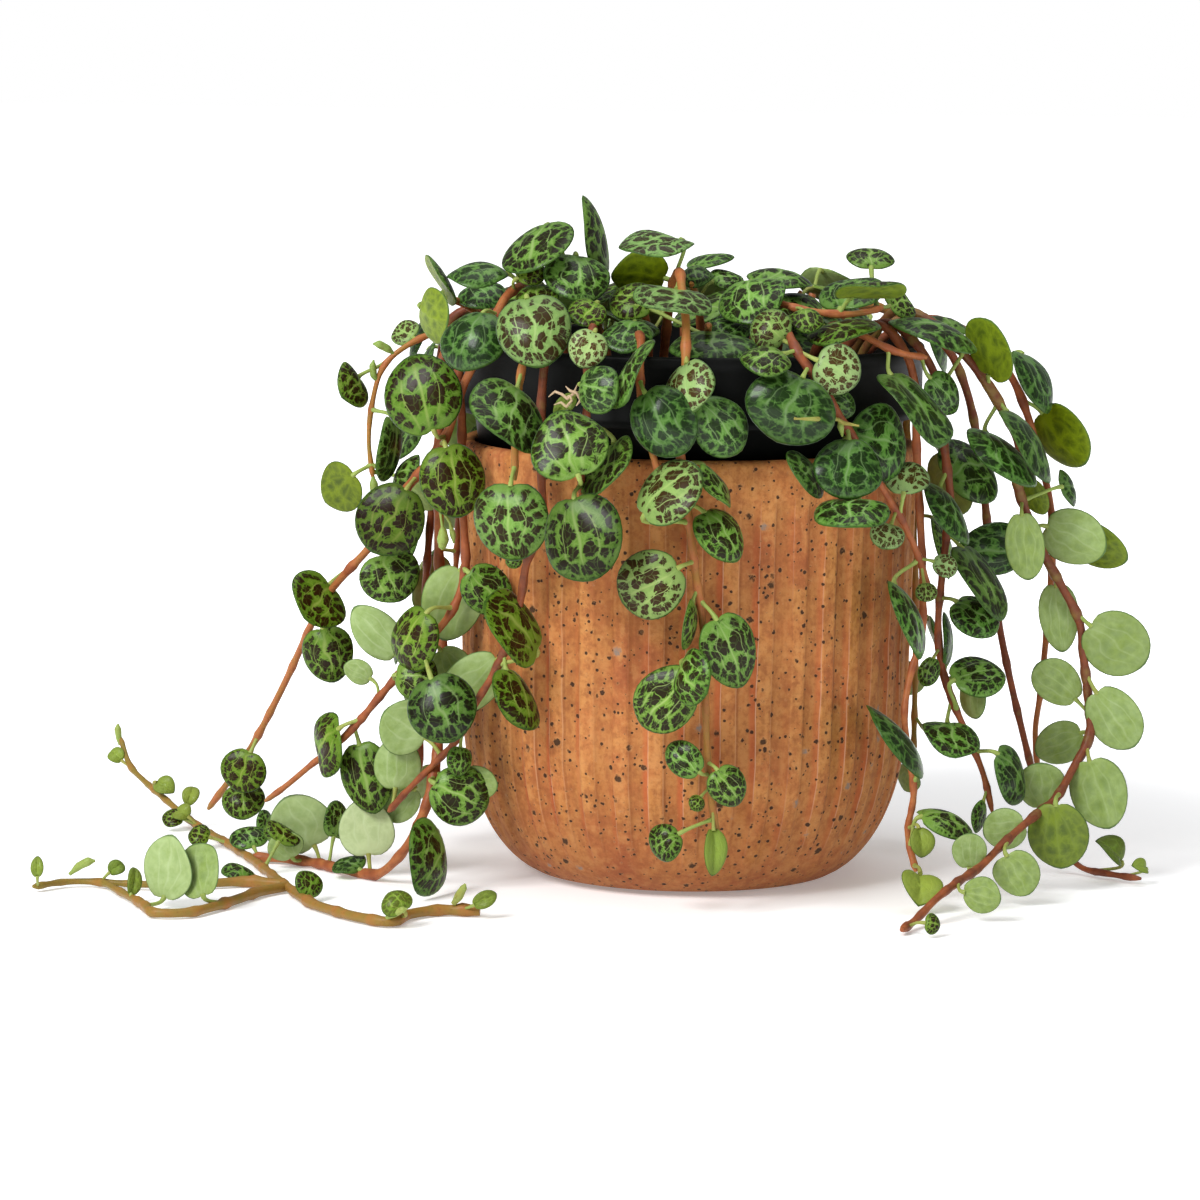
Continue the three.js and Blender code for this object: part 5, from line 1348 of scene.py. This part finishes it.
def speckledClayMaterial():
    # matte fired stoneware: iron specks burnt out to pits, paler where edges are worn, with painted shade
    # and highlights along the flutes
    material, node = newMaterial("speckled terracotta stoneware")
    finish = clayFinish
    spot = node("TexCoord").outputs["Object"]
    x, y, height = node("SeparateXYZ", spot).outputs
    phase = node("multiply", node("arctan2", y, x), coverPot["flutes"] / (2 * math.pi))
    sway = node("subtract", node("noise", spot, 70, 2), 0.5)
    phase = node("fract", node("multiply_add", sway, 0.1, phase))
    band = node("remap", height, (coverPot["fluteTop"] + 0.5) * mm, (coverPot["fluteTop"] - 3) * mm)
    fluted = node("multiply", band, node("remap", height, 0.007, 0.022))
    upright = node("vector multiply", spot, (1, 1, 0.22))

    # the body: cloudy, with yellow and red firing streaks that run down the flutes
    body = node("ValToRGB", node("noise", spot, 45, 5, 0.62))
    fillRamp(body.color_ramp, finish["body"])
    streaks = node("noise", upright, 130, 2)
    colour = node("mix", node("remap", streaks, 0.56, 0.72, 0, 0.45), body, "#b37a30")
    fine = node("noise", spot, 900, 3, 0.7)
    colour = node("mix", node("remap", fine, 0.48, 0.66, 0, 0.5), colour, "#834a28")
    colour = node("mix", node("remap", fine, 0.44, 0.3, 0, 0.4), colour, "#bd8851")

    # blotches of a few millimetres, and a grain drawn down the wall
    blotchy = node("noise", spot, 330, 3, 0.6)
    drawn = node("noise", node("vector multiply", spot, (1, 1, 0.12)), 700, 2)
    blotchy = node("add", node("multiply", drawn, 0.35), node("multiply", blotchy, 0.65))
    for low, high, strength, hexColour in ((0.5, 0.62, 0.5, "#8a4c28"), (0.49, 0.38, 0.42, "#ca9055")):
        colour = node("mix", node("remap", blotchy, low, high, 0, strength), colour, hexColour)

    # painted shade: each groove is a little darker and browner and red along one side, with a dark painted
    # shadow line inside it; thin worn lines on both its edges also act as painted highlights
    paintedGrooveShade = node("remap", phase, finish["ridgeShare"] - 0.02, finish["ridgeShare"] + 0.05)
    paintedGrooveShade = node("multiply", node("multiply", paintedGrooveShade, fluted), 0.28)
    colour = node("mix", paintedGrooveShade, colour, "#8f5429")
    wearAndPaintedLight = node("multiply", fluted, node("remap", node("noise", upright, 75, 2), 0.36, 0.6))
    for where, wide, strength, hexColour in finish["lines"]:
        line = node("absolute", node("subtract", phase, where))
        line = node("multiply", node("remap", line, wide * 0.3, wide, strength, 0), wearAndPaintedLight)
        colour = node("mix", line, colour, hexColour)
    # painted shade: the wall darkens towards the foot
    colour = node("mix", node("remap", height, 0.024, 0.002, 0, 0.45), colour, "#84492a")

    # grey round specks, large ragged pits, then small pits of two sizes
    relief = node("multiply", fine, 0.22)
    jagged = node("vector subtract", node("noise", spot, 1400, 1).outputs["Color"], (0.5, 0.5, 0.5))
    for cell, share, size, hexColour, deep in finish["specks"]:
        moved = node("vector multiply_add", jagged, (0.2 * cell * mm,) * 3, spot)
        cells = node("TexVoronoi", moved, inputs={"Scale": 1000 / cell, "Randomness": 1.0})
        red, green, _ = node("SeparateColor", cells.outputs["Color"]).outputs
        chosen = node("less_than", red, share)
        inside = node("subtract", node("multiply_add", green, size, size * 0.5), cells)
        pit = node("multiply", node("remap", inside, -0.01, 0.05), chosen)
        halo = node("multiply", node("remap", inside, -0.07, -0.01, 0, 0.3), chosen)
        colour = node("mix", halo, colour, "#bf8a58")
        colour = node("mix", node("multiply", pit, 0.92), colour, hexColour)
        relief = node("multiply_add", pit, -0.8 * deep, relief)
    finishSurface(node, 0.7, 0.0006, relief, {"Base Color": colour, "Roughness": 0.78, "IOR": 1.5,
        "Specular IOR Level": 0.3})
    return material


def nurseryPotSection():
    pot = nurseryPot
    bottom = pot["rimTop"] - pot["height"]
    collar = pot["rimTop"] - pot["collarHeight"]
    rim = pot["rimRadius"]
    inner = rim - pot["collarWall"]
    neck, base, wall, top = pot["neckRadius"], pot["baseRadius"], pot["wall"], pot["rimTop"]
    ledge = collar + pot["collarFloor"]
    section = [(0, bottom + wall), (base - wall, bottom + wall), (neck - wall, ledge), (inner, ledge),
               (inner, top - 0.8)]
    section += roundedCorner((inner + 0.8, top - 0.8), 0.8, 180, 0, 6)
    # a lip at the rim and a bead at the collar's foot, with a slightly slimmer wall between them
    section += [(rim, top - 3.2), (rim - 0.35, top - 3.5), (rim - 0.35, collar + 2.2),
                (rim, collar + 1.9), (rim, collar + 0.3), (rim - 0.3, collar)]
    return section + [(neck, collar), (base + 1, bottom + 1), (base, bottom), (0, bottom)]


def blackPlasticMaterial():
    # thin black polypropylene, vacuum formed: soft gloss, dust and scuffs
    material, node = newMaterial("black polypropylene")
    spot = node("TexCoord").outputs["Object"]
    dust = node("noise", spot, 120, 5, 0.7)
    colour = node("mix", node("remap", dust, 0.5, 0.8, 0, 0.3), "#0a0b0a", "#1f1e1a")
    rough = node("remap", dust, 0, 1, 0.38, 0.62)
    finishSurface(node, 0.1, 0.0003, dust, {"Base Color": colour, "Roughness": rough, "IOR": 1.49,
        "Specular IOR Level": 0.09})
    return material


def nurseryPotPiece(material):
    piece = turnedPiece("nursery_pot_wall", nurseryPotSection(), 160)
    cleanShell(piece)
    piece.data.materials.append(material)
    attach(piece, "root")
    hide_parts("nursery_pot")


def pottingMixMaterial():
    # damp peat and bark crumb with grains of white perlite
    material, node = newMaterial("peat potting mix")
    spot = node("TexCoord").outputs["Object"]
    crumbs = node("TexVoronoi", spot, inputs={"Scale": 550.0})
    ramp = node("ValToRGB", node("SeparateColor", crumbs.outputs["Color"]))
    fillRamp(ramp.color_ramp, [(0.0, "#1d130c"), (0.5, "#35241a"), (0.86, "#4b3524"), (0.94, "#c9c4ba")])
    finishSurface(node, 0.9, 0.0012, crumbs, {"Base Color": ramp, "Roughness": 0.95})
    return material


def pottingSoilPiece(material):
    pot = nurseryPot
    gap = 0.6
    bottom = pot["rimTop"] - pot["height"] + pot["wall"] + gap
    step = pot["rimTop"] - pot["collarHeight"] + pot["collarFloor"] + gap
    outer = pot["rimRadius"] - pot["collarWall"] - gap
    section = [(0, bottom), (pot["baseRadius"] - pot["wall"] - gap, bottom),
               (pot["neckRadius"] - pot["wall"] - gap, step - 0.5), (outer, step), (outer, soil["top"] - 1)]
    rings = 26
    section += [((outer - 0.8) * (1 - ring / rings), soil["top"]) for ring in range(rings + 1)]
    section.reverse()
    piece = turnedPiece("potting_soil_crumb", section, 120)
    cleanShell(piece)
    crumble = np.random.RandomState(58)
    for vertex in piece.data.vertices:
        if vertex.co.z > (soil["top"] - 0.2) * mm:
            vertex.co.z -= float(crumble.uniform(0, 1.4)) * mm
    piece.data.materials.append(material)
    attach(piece, "root")
    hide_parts("potting_soil")


view = {
    "eye": (0.0, -1.100, 0.20237),
    "yaw": -0.01774,
    "pitch": 0.12766,
    "roll": 0.01214,
    "focalLength": 147.39,
    "sensorWidth": 36.0,
}


def studioCamera():
    yaw, pitch, roll = view["yaw"], view["pitch"], view["roll"]
    forward = Vector((math.sin(yaw) * math.cos(pitch), math.cos(yaw) * math.cos(pitch), -math.sin(pitch)))
    level = Vector((math.cos(yaw), -math.sin(yaw), 0))
    upright = level.cross(forward)
    right = level * math.cos(roll) + upright * math.sin(roll)
    up = upright * math.cos(roll) - level * math.sin(roll)
    camera = bpy.data.objects.new("studio_camera", bpy.data.cameras.new("studio_camera"))
    bpy.context.scene.collection.objects.link(camera)
    camera.data.lens = view["focalLength"]
    camera.data.sensor_width = view["sensorWidth"]
    camera.data.clip_end = 20
    turned = Matrix((right, up, -forward)).transposed().to_4x4()
    camera.matrix_world = Matrix.Translation(view["eye"]) @ turned
    bpy.context.scene.camera = camera


def paleFloor():
    reach = 6000
    corners = [(-reach, -reach, 0), (reach, -reach, 0), (reach, reach, 0), (-reach, reach, 0)]
    floor = showMesh("studio_floor", corners, [(0, 1, 2, 3)], smooth=False)
    # painted glow: the white floor gives off light of its own, weaker near the plant so that its shadows
    # show and brighter away from it
    material, node = newMaterial("backlit white acrylic")
    spot = node("TexCoord").outputs["Object"]
    away = node("vector length", spot)
    glow = node("smooth remap", away, 0.08, 0.4, 0.24, 1)
    paint = node("BsdfDiffuse", "#f6f6f6")
    floorGlow = node("Emission", (1, 1, 1, 1), glow)
    node("OutputMaterial", node("AddShader", paint, floorGlow))
    floor.data.materials.append(material)


def softLight(name, place, aim, size, watts, colour):
    lamp = bpy.data.lights.new(name, "AREA")
    lamp.shape = "RECTANGLE"
    lamp.size, lamp.size_y = size
    lamp.energy = watts
    lamp.color = linearColour(colour)[:3]
    piece = bpy.data.objects.new(name, lamp)
    bpy.context.scene.collection.objects.link(piece)
    piece.location = place
    piece.rotation_euler = (Vector(aim) - Vector(place)).to_track_quat("-Z", "Y").to_euler()


def studioLight():
    world = bpy.data.worlds.new("white studio")
    world.use_nodes = True
    world.node_tree.nodes.clear()
    node = partial(addNode, world.node_tree)
    backdrop = node("Background", (1, 1, 1, 1), 1)
    room = node("Background", "#fbfcff", 0.28)
    seenDirectly = node("LightPath").outputs["Is Camera Ray"]
    node("OutputWorld", node("MixShader", seenDirectly, room, backdrop))
    bpy.context.scene.world = world
    softLight("key_softbox", (-0.9, -1.1, 1.15), (0, 0, 0.09), (0.75, 0.75), 31, "#fcfdff")
    softLight("top_softbox", (0.1, 0.1, 1.7), (0, 0, 0.05), (1.3, 1.3), 11, "#fdfeff")
    softLight("fill_softbox", (1.3, -1.1, 0.7), (0, 0, 0.09), (0.8, 0.8), 3, "#f8fbff")
    bpy.context.scene.view_settings.view_transform = "Standard"


studioCamera()
paleFloor()
studioLight()
print("stage set")

leafMaterials = {"stem": stemMaterial(), "leafTop": leafTopMaterial(),
                 "leafUnderside": leafUndersideMaterial()}
template = bladeTemplate()
strandTree = leafyStrandTree(leafMaterials)
for strand in strands:
    growPiece(strand, strandTree, template)
print("strands grown:", len(strands))

flutedCoverPot(speckledClayMaterial())
nurseryPotPiece(blackPlasticMaterial())
pottingSoilPiece(pottingMixMaterial())
print("pots and soil made")
